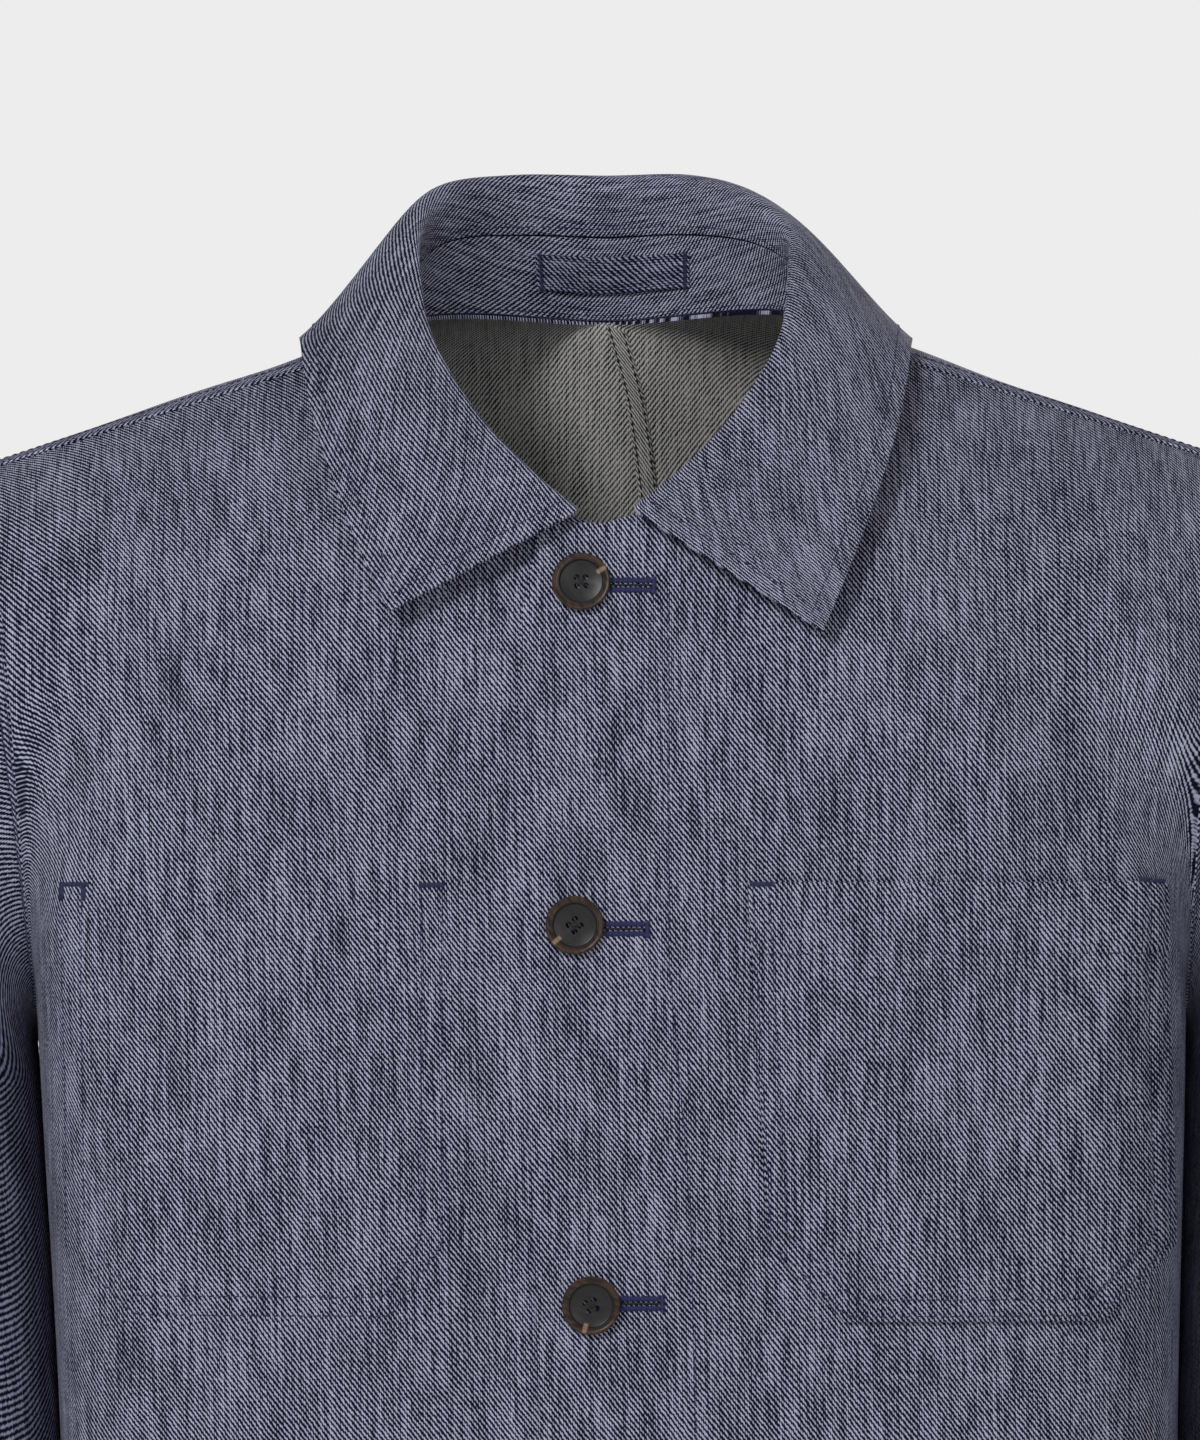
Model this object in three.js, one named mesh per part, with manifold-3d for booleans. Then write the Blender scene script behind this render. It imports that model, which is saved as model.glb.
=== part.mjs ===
// A chore jacket, filled out as if worn with nobody in it. Millimetres, +Z up, the front faces -Y.
// The origin is the middle of the neck hole, level with the top of the shoulders,
// and the wearer's left is +X. Every piece of cloth is a thin wall along a surface
// that is worked out from the sizes and short tables below.
import * as THREE from "three";
import { mergeVertices } from "three/addons/utils/BufferGeometryUtils.js";
import Module from "manifold-3d";

// Cloth, and the gaps at seams and between layers
const CLOTH = 1.6;
const COLLAR_CLOTH = 1.6;
const TRIM_CLOTH = 1.2;
const SEAM = 0.3;
const LAP_LIFT = 2.5;
const NECK_SEAM = 0.5;
const LEAF_SEAM = 0.6;
const PATCH_EASE = 0.6;
const INSIDE_EASE = 1.3;
const LOOP_EASE = 0.4;

// Heights and places of the body
const HEM_Z = -700;
const FRONT_NECK_Z = -62;
const BACK_NECK_Z = 13;
const UNDERARM_Z = -240;
const SHOULDER_AT_NECK = [76, -18, 3.6];
const SHOULDER_AT_ARM = [238, -2, -47.5];
const LEFT_SHOULDER_RISE = 2.5;
const DEGREE = Math.PI / 180;
const RIDGE_AT_NECK = 36 * DEGREE;
const RIDGE_AT_ARM = 14 * DEGREE;
const ARMHOLE_TURN = 166 * DEGREE;
const ARMHOLE_FLARE = 80;
const SLANT_EASE = 0.7;

// The body's rounded section at each height: half width, depths to front and back,
// how square it is, and how far its middle lies to the wearer's left.
const BODY = [
  { z: -700, wide: 203, front: 110, back: 106, square: 4.0, aside: 6 },
  { z: -550, wide: 198, front: 108, back: 100, square: 4.4, aside: 6 },
  { z: -400, wide: 197, front: 110, back: 98, square: 4.6, aside: 5 },
  { z: -240, wide: 203, front: 112, back: 103, square: 4.6, aside: 2 },
  { z: -150, wide: 205, front: 108, back: 104, square: 4.2, aside: 0 },
  { z: -62, wide: 203, front: 94, back: 96, square: 3.4, aside: 0 },
  { z: 13, wide: 190, front: 84, back: 75, square: 3.0, aside: 0 },
];

// How far each upright line of a panel runs on before it bends:
// from the slanted line below the shoulder, and over the shoulder seam.
const PANEL_REACH = [
  { across: 0, up: 76, over: 86 },
  { across: 0.5, up: 190, over: 150 },
  { across: 1, up: 330, over: 320 },
];

// How far short of the shoulder seam a panel's last row stops, as a share of its rise
const SHOULDER_GAP = SEAM / 2 / PANEL_REACH[0].over;

// The buttoned edge of the wearer's left front, and the fixed edge of the right front under it
const LAP_EDGE = [
  { z: -700, x: -22 },
  { z: -520, x: -22 },
  { z: -380, x: -23 },
  { z: -256, x: -27 },
  { z: -140, x: -31 },
  { z: -100, x: -30 },
  { z: -62, x: -23 },
];
const UNDERLAP_X = 10;
const LAP_FLAT_TO = 14;
const LAP_FADE = 40;

// Sleeve: the rings below the armhole, and how its cloth leaves the armhole seam
const SLEEVE_RINGS = [
  { z: -640, x: 256.8, y: -32, wide: 55, deep: 64 },
  { z: -500, x: 255.1, y: -14, wide: 57, deep: 71 },
  { z: -380, x: 258.4, y: 0, wide: 60, deep: 78 },
  { z: -262, x: 264.2, y: 6, wide: 61, deep: 84 },
];
const SLEEVE_LEAVE = [
  { round: 0, slope: 22, reach: 1.1 },
  { round: 0.5, slope: 14, reach: 1.0 },
  { round: 0.8, slope: 32, reach: 0.8 },
  { round: 1, slope: 60, reach: 0.6 },
];
const SLEEVE_DROP = 1.1;
const CUFF_Z = SLEEVE_RINGS[0].z;
const SLEEVE_HEAD_Z = SLEEVE_RINGS[SLEEVE_RINGS.length - 1].z;

// Collar stations from the centre back (0) to the front end (1): the roll and the leaf's edge,
// and how far the wearer's left roll lies from the mirrored right one.
const COLLAR = [
  { at: 0, rollX: 0, rollY: 76, rollZ: 66, edgeX: 0, edgeY: 99, edgeZ: 8, leftX: 0, leftZ: 0 },
  { at: 0.15, rollX: 34, rollY: 70, rollZ: 66, edgeX: 46, edgeY: 93, edgeZ: 8, leftX: -3, leftZ: 0 },
  { at: 0.3, rollX: 60, rollY: 46, rollZ: 61, edgeX: 86, edgeY: 66, edgeZ: 8, leftX: -7, leftZ: -2 },
  { at: 0.42, rollX: 69, rollY: 15, rollZ: 46, edgeX: 107, edgeY: 26, edgeZ: 7, leftX: -2, leftZ: -1 },
  { at: 0.54, rollX: 68, rollY: -13, rollZ: 24, edgeX: 108, edgeY: -22, edgeZ: 1, leftX: -1, leftZ: 2 },
  { at: 0.66, rollX: 62, rollY: -40, rollZ: 3, edgeX: 103, edgeY: -61, edgeZ: -24, leftX: 0, leftZ: 0 },
  { at: 0.78, rollX: 46, rollY: -72, rollZ: -24, edgeX: 94, edgeY: -87, edgeZ: -51, leftX: 0, leftZ: 0 },
  { at: 0.89, rollX: 29, rollY: -91, rollZ: -43, edgeX: 84, edgeY: -103, edgeZ: -75, leftX: 0, leftZ: 0 },
  { at: 1, rollX: 12, rollY: -102, rollZ: -58.5, edgeX: 75.5, edgeY: -109, edgeZ: -92.5, leftX: 0, leftZ: 0 },
];
const COLLAR_SHOULDER_AT = 0.52;
const COLLAR_FRONT_X = 12;
const LEFT_WING_DROP = 7;
const WING_DROP_POWER = 4;
const ROLL_RADIUS = 5;
const STAND_SHARE = 0.48;
const STAND_STEEP = 0.9;
const LEAST_TURN = 14;

// Hanger loop on the inside of the stand: its span round the collar and up the stand
const LOOP = { from: -0.131, to: 0.163, low: 0.17, high: 0.36 };

// Patch pockets: on the wearer's left chest, and inside the right front. Distances from the middle.
const CHEST_POCKET = { top: -187, bottom: -340, near: 49, lowNear: 57, far: 195, lowFar: 199, cut: 26 };
const INNER_POCKET = { top: -185, bottom: -338, near: 57, lowNear: 57, far: 190, lowFar: 188, cut: 22 };

// Buttons: places on the lapped front, and the section from the back's middle to the face's middle
const BUTTONS = [
  { name: "button_1", x: -8.7, z: -83 },
  { name: "button_2", x: -11, z: -202 },
  { name: "button_3", x: -5.2, z: -334 },
  { name: "button_4", x: -5, z: -465 },
  { name: "button_5", x: -5, z: -596 },
];
const BUTTON_SECTION = [
  { r: 0, rise: 0 },
  { r: 7.6, rise: 0 },
  { r: 9.6, rise: 0.9 },
  { r: 10.2, rise: 1.9 },
  { r: 9.8, rise: 2.9 },
  { r: 8.6, rise: 3.2 },
  { r: 7.2, rise: 2.6 },
  { r: 6.2, rise: 1.9 },
  { r: 0, rise: 1.8 },
];
const EYELET = { count: 4, radius: 0.9, away: 1.9, sides: 8, length: 10 };

// How finely each surface is divided
const GRID = { across: 22, lap: 3, low: 9, high: 12, sleeveRound: 24, sleeveHead: 7, sleeveDown: 8 };
const COLLAR_GRID = { around: 40, stand: 3, leaf: 12 };
const PATCH_GRID = { cut: 3, across: 8, down: 8 };
const LOOP_GRID = { along: 8, up: 2 };
const BUTTON_SIDES = 24;
const SEARCH_STEPS = 12;
const STEP = 1e-3;
const PROBE = 1;
const ARC_STEPS = 60;

const INDIGO = new THREE.MeshStandardMaterial({ color: "#6a6c80", roughness: 0.9, metalness: 0 });
const NAVY = new THREE.MeshStandardMaterial({ color: "#3a3c60", roughness: 0.9, metalness: 0 });
const HORN = new THREE.MeshStandardMaterial({ color: "#332c28", roughness: 0.35, metalness: 0 });

const vec = (x, y, z) => new THREE.Vector3(x, y, z);
const mix = (a, b, t) => a + (b - a) * t;

function smooth(t) {
  const c = Math.min(1, Math.max(0, t));
  return c * c * (3 - 2 * c);
}

// A smooth curve through one column of a table whose key column rises.
function along(rows, key, at, column) {
  const last = rows.length - 1;
  let i = rows.findIndex((row) => row[key] > at) - 1;
  if (i === -2) i = last - 1;
  i = Math.max(0, i);
  const slope = (k) => {
    const lo = rows[Math.max(0, k - 1)];
    const hi = rows[Math.min(last, k + 1)];
    return (hi[column] - lo[column]) / (hi[key] - lo[key]);
  };
  const span = rows[i + 1][key] - rows[i][key];
  const t = Math.min(1, Math.max(0, (at - rows[i][key]) / span));
  const from = rows[i][column];
  const to = rows[i + 1][column];
  return bend(from, slope(i) * span, to, slope(i + 1) * span, t);
}

// The cubic from a to b that leaves a along da and reaches b along db, for one number.
function bend(a, da, b, db, t) {
  const u = 1 - t;
  return a * u * u * (1 + 2 * t) + da * t * u * u + b * t * t * (3 - 2 * t) - db * t * t * u;
}

function bendPoint(a, da, b, db, t) {
  return vec(bend(a.x, da.x, b.x, db.x, t), bend(a.y, da.y, b.y, db.y, t), bend(a.z, da.z, b.z, db.z, t));
}

// The body's section: a point at an angle from straight ahead (or straight behind) towards the side.
function sectionAt(half, z, angle) {
  const wide = along(BODY, "z", z, "wide");
  const deep = along(BODY, "z", z, half);
  const square = along(BODY, "z", z, "square");
  const across = Math.sin(angle);
  const out = Math.cos(angle);
  const reach = ((across / wide) ** square + (out / deep) ** square) ** (-1 / square);
  return [reach * across, reach * out];
}

// Arc length of a quarter section, as steps of angle, and the length up to each.
const arcs = new Map();
function arcOf(half, z) {
  const key = `${half} ${z.toFixed(6)}`;
  if (arcs.has(key)) return arcs.get(key);
  const lengths = [0];
  let before = sectionAt(half, z, 0);
  for (let i = 1; i <= ARC_STEPS; i++) {
    const here = sectionAt(half, z, (i / ARC_STEPS) * (Math.PI / 2));
    lengths.push(lengths[i - 1] + Math.hypot(here[0] - before[0], here[1] - before[1]));
    before = here;
  }
  arcs.set(key, lengths);
  return lengths;
}

// A point of the body below the slanted line: share is the way round from the middle to the side.
function lowPoint(half, side, share, z) {
  const lengths = arcOf(half, z);
  const want = Math.abs(share) * lengths[ARC_STEPS];
  let i = lengths.findIndex((l) => l >= want);
  i = Math.min(ARC_STEPS, Math.max(1, i));
  const part = (want - lengths[i - 1]) / (lengths[i] - lengths[i - 1]);
  const [x, y] = sectionAt(half, z, ((i - 1 + part) / ARC_STEPS) * (Math.PI / 2));
  const facing = half === "front" ? -1 : 1;
  return vec(side * Math.sign(share || 1) * x + along(BODY, "z", z, "aside"), facing * y, z);
}

function quarterLength(half, z) {
  return arcOf(half, z)[ARC_STEPS];
}

// The slanted line from the neck's middle to the underarm, where the upper panel starts.
function slantZ(half, share) {
  const neck = half === "front" ? FRONT_NECK_Z : BACK_NECK_Z;
  const eased = mix(share, smooth(share), SLANT_EASE);
  return mix(neck, UNDERARM_Z, eased);
}

function seamPoint(side, share) {
  const [nx, ny, nz] = SHOULDER_AT_NECK;
  const [ax, ay, az] = SHOULDER_AT_ARM;
  const higher = side > 0 ? LEFT_SHOULDER_RISE : 0;
  return vec(side * mix(nx, ax, share), mix(ny, ay, share), mix(nz, az, share) + higher);
}

// A point of the panel above the slanted line: rise 0 is on that line, 1 at the shoulder seam.
function highPoint(half, side, share, rise) {
  const z = slantZ(half, share);
  const start = lowPoint(half, side, share, z);
  const step = Math.min(STEP, 1 - share) || -STEP;
  const around = lowPoint(half, side, share + step, z).sub(start).multiplyScalar(Math.sign(step)).normalize();
  const above = lowPoint(half, side, share, z + PROBE);
  const upward = above.sub(lowPoint(half, side, share, z - PROBE)).normalize();
  const turn = ARMHOLE_TURN * share;
  const reachUp = along(PANEL_REACH, "across", share, "up");
  const leave = around.multiplyScalar(Math.cos(turn)).addScaledVector(upward, Math.sin(turn));
  leave.multiplyScalar(reachUp);
  const end = seamPoint(side, share);
  const rearward = half === "front" ? 1 : -1;
  const ridge = mix(RIDGE_AT_NECK, RIDGE_AT_ARM, share);
  const over = vec(0, Math.cos(ridge), Math.sin(ridge)).multiplyScalar(rearward);
  over.multiplyScalar(along(PANEL_REACH, "across", share, "over"));
  const seamway = seamPoint(side, 1).sub(seamPoint(side, 0)).normalize();
  over.addScaledVector(seamway, ARMHOLE_FLARE * share * share);
  return bendPoint(start, leave, end, over, rise);
}

// One panel surface. level 0 is the hem, 1 the slanted line and 2 the shoulder seam;
// share 0 is the centre, 1 the side, and below 0 the part of a front past the centre.
function panelPoint(half, side, share, level) {
  if (level > 1) return highPoint(half, side, Math.max(0, share), level - 1);
  const top = slantZ(half, Math.max(0, share));
  return lowPoint(half, side, share, mix(HEM_Z, top, level));
}

function lapLift(x) {
  return LAP_LIFT * (1 - smooth((x - LAP_FLAT_TO) / LAP_FADE));
}

// Outward direction of a surface given as a function of two numbers.
function outward(at, u, v, flip) {
  const du = u + STEP <= 1 ? STEP : -STEP;
  const dv = v - STEP >= 0 ? -STEP : STEP;
  const here = at(u, v);
  const alongU = at(u + du, v).sub(here).multiplyScalar(Math.sign(du));
  const alongV = at(u, v + dv).sub(here).multiplyScalar(Math.sign(dv));
  const n = alongU.cross(alongV).normalize();
  return flip ? n.negate() : n;
}

// The wearer's left front is lifted where it lies over the right one.
function frontPoint(side, share, level) {
  const base = (u, v) => panelPoint("front", side, u, v);
  const point = base(share, level);
  if (side < 0) return point;
  const lift = lapLift(point.x);
  if (lift === 0) return point;
  return point.addScaledVector(outward(base, share, level, false), lift);
}

// Closed wall from a grid of outer points and outward directions. hole(i, j) leaves a cell out.
function wallGeometry(columns, rows, pointAt, outAt, thick, flip, closed, hole) {
  const wrap = closed ? columns : columns + 1;
  const outer = [];
  const inner = [];
  for (let i = 0; i < wrap; i++)
    for (let j = 0; j <= rows; j++) {
      const p = pointAt(i, j);
      outer.push(p);
      inner.push(p.clone().addScaledVector(outAt(i, j), -thick));
    }
  const points = outer.concat(inner);
  const id = (i, j) => (i % wrap) * (rows + 1) + j;
  const faces = [];
  const edges = new Map();
  const quad = (a, b, c, d) => {
    if (flip) faces.push(a, c, b, a, d, c);
    else faces.push(a, b, c, a, c, d);
  };
  const note = (a, b) => {
    const back = `${b} ${a}`;
    if (edges.has(back)) edges.delete(back);
    else edges.set(`${a} ${b}`, [a, b]);
  };
  for (let i = 0; i < columns; i++)
    for (let j = 0; j < rows; j++) {
      if (hole && hole(i, j)) continue;
      const ring = [id(i, j), id(i + 1, j), id(i + 1, j + 1), id(i, j + 1)];
      quad(...ring);
      quad(...ring.map((k) => k + outer.length).reverse());
      ring.forEach((k, n) => note(k, ring[(n + 1) % 4]));
    }
  for (const [a, b] of edges.values()) quad(b, a, a + outer.length, b + outer.length);
  const geometry = new THREE.BufferGeometry();
  geometry.setAttribute("position", new THREE.Float32BufferAttribute(points.flatMap((p) => p.toArray()), 3));
  geometry.setIndex(faces);
  const plain = geometry.toNonIndexed();
  plain.computeVertexNormals();
  return plain;
}

const jacket = new THREE.Group();

function addPiece(name, geometry, material) {
  const mesh = new THREE.Mesh(geometry, material);
  mesh.name = name;
  jacket.add(mesh);
}

// Levels of a panel's rows, with the last one half a seam short of the shoulder.
function levelOf(row) {
  if (row <= GRID.low) return row / GRID.low;
  return 1 + ((row - GRID.low) / GRID.high) * (1 - SHOULDER_GAP);
}

function sideShare(half, level) {
  const z = mix(HEM_Z, UNDERARM_Z, Math.min(1, level));
  return 1 - SEAM / 2 / quarterLength(half, z);
}

// Where the front's own edge lies at a height, as a share of the way round.
function edgeShare(side, z) {
  const x = side > 0 ? along(LAP_EDGE, "z", z, "x") : -UNDERLAP_X;
  return (x - side * along(BODY, "z", z, "aside")) / quarterLength("front", z);
}

function buildFront(name, side) {
  const shareAt = (i, j) => {
    const level = levelOf(j);
    if (i >= GRID.lap) return mix(0, sideShare("front", level), (i - GRID.lap) / GRID.across);
    const z = mix(HEM_Z, FRONT_NECK_Z, Math.min(1, level));
    return mix(edgeShare(side, z), 0, i / GRID.lap);
  };
  const at = (u, v) => frontPoint(side, u, v);
  const pointAt = (i, j) => at(shareAt(i, j), levelOf(j));
  const outAt = (i, j) => outward(at, shareAt(i, j), levelOf(j), side < 0);
  const hole = (i, j) => i < GRID.lap && j >= GRID.low;
  const columns = GRID.lap + GRID.across;
  const rows = GRID.low + GRID.high;
  const geometry = wallGeometry(columns, rows, pointAt, outAt, CLOTH, side < 0, false, hole);
  addPiece(name, geometry, INDIGO);
}

function buildBack(name, side) {
  const shareAt = (i, j) => {
    const level = levelOf(j);
    const centre = SEAM / 2 / quarterLength("back", HEM_Z);
    return mix(centre, sideShare("back", level), i / GRID.across);
  };
  const at = (u, v) => panelPoint("back", side, u, v);
  const pointAt = (i, j) => at(shareAt(i, j), levelOf(j));
  const outAt = (i, j) => outward(at, shareAt(i, j), levelOf(j), side > 0);
  const rows = GRID.low + GRID.high;
  const geometry = wallGeometry(GRID.across, rows, pointAt, outAt, CLOTH, side > 0, false, null);
  addPiece(name, geometry, INDIGO);
}

// The armhole seam: round 0 is the shoulder, 1 the underarm, on the front or the back half.
function armholePoint(half, side, round) {
  return panelPoint(half, side, 1, 1 + (1 - round) * (1 - SHOULDER_GAP));
}

function sleeveRing(half, side, round, z) {
  const angle = Math.PI * round;
  const facing = half === "front" ? -1 : 1;
  const x = along(SLEEVE_RINGS, "z", z, "x") + along(SLEEVE_RINGS, "z", z, "wide") * Math.cos(angle);
  const y = along(SLEEVE_RINGS, "z", z, "deep") * Math.sin(angle);
  return vec(side * x + along(BODY, "z", z, "aside"), along(SLEEVE_RINGS, "z", z, "y") + facing * y, z);
}

// way 0 is the armhole seam, 1 the first ring and 2 the cuff; turn runs once round the sleeve.
function sleevePoint(side, turn, way) {
  const half = turn < 0.5 ? "front" : "back";
  const round = turn < 0.5 ? turn * 2 : 2 - turn * 2;
  if (way >= 1) return sleeveRing(half, side, round, mix(SLEEVE_HEAD_Z, CUFF_Z, way - 1));
  const start = armholePoint(half, side, round);
  const end = sleeveRing(half, side, round, SLEEVE_HEAD_Z);
  const chord = start.distanceTo(end);
  const slope = along(SLEEVE_LEAVE, "round", round, "slope") * DEGREE;
  const leave = vec(side * Math.cos(slope), 0, -Math.sin(slope));
  leave.multiplyScalar(chord * along(SLEEVE_LEAVE, "round", round, "reach"));
  const arrive = vec(0, 0, -chord * SLEEVE_DROP);
  const seamShare = SEAM / Math.max(1, leave.length());
  return bendPoint(start, leave, end, arrive, mix(seamShare, 1, way));
}

function buildSleeve(name, side) {
  const rows = GRID.sleeveHead + GRID.sleeveDown;
  const downOf = (j) => 1 + (j - GRID.sleeveHead) / GRID.sleeveDown;
  const wayOf = (j) => (j <= GRID.sleeveHead ? j / GRID.sleeveHead : downOf(j));
  const at = (u, v) => sleevePoint(side, ((u % 1) + 1) % 1, v);
  const turnOf = (i) => i / GRID.sleeveRound;
  const pointAt = (i, j) => at(turnOf(i), wayOf(j));
  const outAt = (i, j) => {
    const before = at(turnOf(i) - STEP, wayOf(j));
    const after = at(turnOf(i) + STEP, wayOf(j));
    const step = wayOf(j) + STEP <= 2 ? STEP : -STEP;
    const down = at(turnOf(i), wayOf(j) + step).sub(at(turnOf(i), wayOf(j))).multiplyScalar(Math.sign(step));
    const n = after.sub(before).cross(down).normalize();
    return side > 0 ? n : n.negate();
  };
  const geometry = wallGeometry(GRID.sleeveRound, rows, pointAt, outAt, CLOTH, side < 0, true, null);
  addPiece(name, geometry, INDIGO);
}

// The whole collar table, from the right front end round the back to the left front end.
const COLLAR_ROUND = [
  ...COLLAR.slice(1)
    .reverse()
    .map((row) => ({ ...row, at: -row.at, rollX: -row.rollX, edgeX: -row.edgeX })),
  ...COLLAR.map((row) => ({
    ...row,
    rollX: row.rollX + row.leftX,
    rollZ: row.rollZ + row.leftZ,
    edgeZ: row.edgeZ - LEFT_WING_DROP * row.at ** WING_DROP_POWER,
  })),
];

function collarSpot(at, kind) {
  const [x, y, z] = ["X", "Y", "Z"].map((axis) => along(COLLAR_ROUND, "at", at, kind + axis));
  return vec(x, y, z);
}

function necklinePoint(at) {
  const side = at < 0 ? -1 : 1;
  const way = Math.abs(at);
  if (way <= COLLAR_SHOULDER_AT) return panelPoint("back", side, 0, 1 + way / COLLAR_SHOULDER_AT);
  const end = COLLAR_FRONT_X / PANEL_REACH[0].up;
  const left = (way - COLLAR_SHOULDER_AT) / (1 - COLLAR_SHOULDER_AT);
  return frontPoint(side, 0, 1 + mix(1, end, left));
}

// How far the curve runs on at the roll, so that it turns there at about the roll's radius.
function rollReach(length) {
  return Math.sqrt(6 * ROLL_RADIUS * Math.max(length, LEAST_TURN));
}

// way 0 is the neck seam, 1 the roll and 2 the leaf's edge.
function collarPoint(at, way) {
  const seam = necklinePoint(at);
  const roll = collarSpot(at, "roll");
  const edge = collarSpot(at, "edge");
  const out = edge.clone().sub(seam);
  out.z *= Math.abs(at);
  out.normalize();
  const rise = roll.distanceTo(seam);
  const fall = roll.distanceTo(edge);
  if (way <= 1) {
    const up = roll.clone().sub(seam);
    up.z = Math.max(up.z, STAND_STEEP * rise);
    up.setLength(Math.max(rise, LEAST_TURN));
    const over = out.multiplyScalar(rollReach(rise));
    return bendPoint(seam, up, roll, over, way);
  }
  const over = out.multiplyScalar(rollReach(fall));
  return bendPoint(roll, over, edge, edge.clone().sub(roll), way - 1);
}

// The collar's visible side: towards the neck inside the roll, outward over it.
function collarOut(at, way) {
  const du = at + STEP <= 1 ? STEP : -STEP;
  const dv = way + STEP <= 2 ? STEP : -STEP;
  const here = collarPoint(at, way);
  const across = collarPoint(at + du, way).sub(here).multiplyScalar(Math.sign(du));
  const upward = collarPoint(at, way + dv).sub(here).multiplyScalar(Math.sign(dv));
  return across.cross(upward).normalize();
}

function buildCollar() {
  const atOf = (i) => mix(-1, 1, i / COLLAR_GRID.around);
  const speed = (at, way) => collarPoint(at, way + STEP).distanceTo(collarPoint(at, way)) / STEP;
  const standWay = (at, t) => mix(NECK_SEAM / speed(at, 0), STAND_SHARE, t);
  const leafWay = (at, t) => mix(STAND_SHARE + LEAF_SEAM / speed(at, STAND_SHARE), 2, t);
  const build = (name, rows, wayOf) => {
    const point = (i, j) => collarPoint(atOf(i), wayOf(atOf(i), j / rows));
    const out = (i, j) => collarOut(atOf(i), wayOf(atOf(i), j / rows));
    const geometry = wallGeometry(COLLAR_GRID.around, rows, point, out, COLLAR_CLOTH, false, false, null);
    addPiece(name, geometry, INDIGO);
  };
  build("collar_stand", COLLAR_GRID.stand, standWay);
  build("collar_leaf", COLLAR_GRID.leaf, leafWay);
}

// The share and level at which a front passes through a place seen from the front.
function findOnFront(side, x, z) {
  let share = (side * x) / quarterLength("front", z);
  let level = (z - HEM_Z) / (slantZ("front", Math.max(0, share)) - HEM_Z);
  for (let i = 0; i < SEARCH_STEPS; i++) {
    const here = frontPoint(side, share, level);
    const byShare = frontPoint(side, share + STEP, level).sub(here).divideScalar(STEP);
    const byLevel = frontPoint(side, share, level + STEP).sub(here).divideScalar(STEP);
    const det = byShare.x * byLevel.z - byLevel.x * byShare.z;
    const dx = x - here.x;
    const dz = z - here.z;
    share += (dx * byLevel.z - byLevel.x * dz) / det;
    level += (byShare.x * dz - dx * byShare.z) / det;
  }
  return [share, level];
}

function frontSpot(side, x, z) {
  const [share, level] = findOnFront(side, x, z);
  const at = (u, v) => frontPoint(side, u, v);
  return { point: at(share, level), out: outward(at, share, level, side < 0) };
}

// A patch with its two lower corners cut off, laid at a height over a front's outer face.
function buildPatch(name, side, patch, lift, thick, material) {
  const { cut, across, down } = PATCH_GRID;
  const columns = across + 2 * cut;
  const spotAt = (i, j) => {
    const fall = j / down;
    const near = mix(patch.near, patch.lowNear, fall);
    const far = mix(patch.far, patch.lowFar, fall);
    const fromEdge = Math.min(i, columns - i);
    const corner = Math.max(0, 1 - fromEdge / cut);
    let x = mix(near + patch.cut, far - patch.cut, (i - cut) / across);
    if (i < cut) x = mix(near, near + patch.cut, i / cut);
    if (i > columns - cut) x = mix(far, far - patch.cut, (columns - i) / cut);
    return frontSpot(side, side * x, mix(patch.top, patch.bottom + patch.cut * corner, fall));
  };
  const pointAt = (i, j) => {
    const spot = spotAt(i, j);
    return spot.point.addScaledVector(spot.out, lift);
  };
  const outAt = (i, j) => spotAt(i, j).out;
  addPiece(name, wallGeometry(columns, down, pointAt, outAt, thick, side > 0, false, null), material);
}

function buildLoop() {
  const atOf = (i) => mix(LOOP.from, LOOP.to, i / LOOP_GRID.along);
  const wayOf = (j) => mix(LOOP.low, LOOP.high, j / LOOP_GRID.up);
  const outAt = (i, j) => collarOut(atOf(i), wayOf(j));
  const lift = SEAM + LOOP_EASE + TRIM_CLOTH;
  const pointAt = (i, j) => collarPoint(atOf(i), wayOf(j)).addScaledVector(outAt(i, j), lift);
  const { along: columns, up: rows } = LOOP_GRID;
  const geometry = wallGeometry(columns, rows, pointAt, outAt, TRIM_CLOTH, false, false, null);
  addPiece("hanger_loop", geometry, NAVY);
}

const wasm = await Module();
wasm.setup();

// A closed mesh as a solid that can be cut.
function solidOf(geometry) {
  const bare = geometry.clone();
  bare.deleteAttribute("normal");
  bare.deleteAttribute("uv");
  const merged = mergeVertices(bare);
  const vertProperties = new Float32Array(merged.getAttribute("position").array);
  const triVerts = new Uint32Array(merged.index.array);
  return new wasm.Manifold(new wasm.Mesh({ numProp: 3, vertProperties, triVerts }));
}

function geometryOf(solid) {
  const mesh = solid.getMesh();
  const geometry = new THREE.BufferGeometry();
  geometry.setAttribute("position", new THREE.BufferAttribute(mesh.vertProperties, mesh.numProp));
  geometry.setIndex(new THREE.BufferAttribute(mesh.triVerts, 1));
  const plain = geometry.toNonIndexed();
  plain.computeVertexNormals();
  return plain;
}

// A sew-through button: a turned disc with a raised rim and four eyelets.
function buttonGeometry() {
  const section = BUTTON_SECTION.map(({ r, rise }) => new THREE.Vector2(r, rise));
  let body = solidOf(new THREE.LatheGeometry(section, BUTTON_SIDES));
  for (let i = 0; i < EYELET.count; i++) {
    const angle = ((i + 0.5) / EYELET.count) * 2 * Math.PI;
    const hole = new THREE.CylinderGeometry(EYELET.radius, EYELET.radius, EYELET.length, EYELET.sides);
    hole.translate(EYELET.away * Math.cos(angle), 0, EYELET.away * Math.sin(angle));
    body = body.subtract(solidOf(hole));
  }
  return geometryOf(body);
}

function buildButtons() {
  for (const { name, x, z } of BUTTONS) {
    const { point, out } = frontSpot(1, x, z);
    const turn = new THREE.Quaternion().setFromUnitVectors(vec(0, 1, 0), out);
    const geometry = buttonGeometry().applyQuaternion(turn);
    const seat = point.addScaledVector(out, SEAM);
    geometry.translate(seat.x, seat.y, seat.z);
    addPiece(name, geometry, HORN);
  }
}

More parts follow.
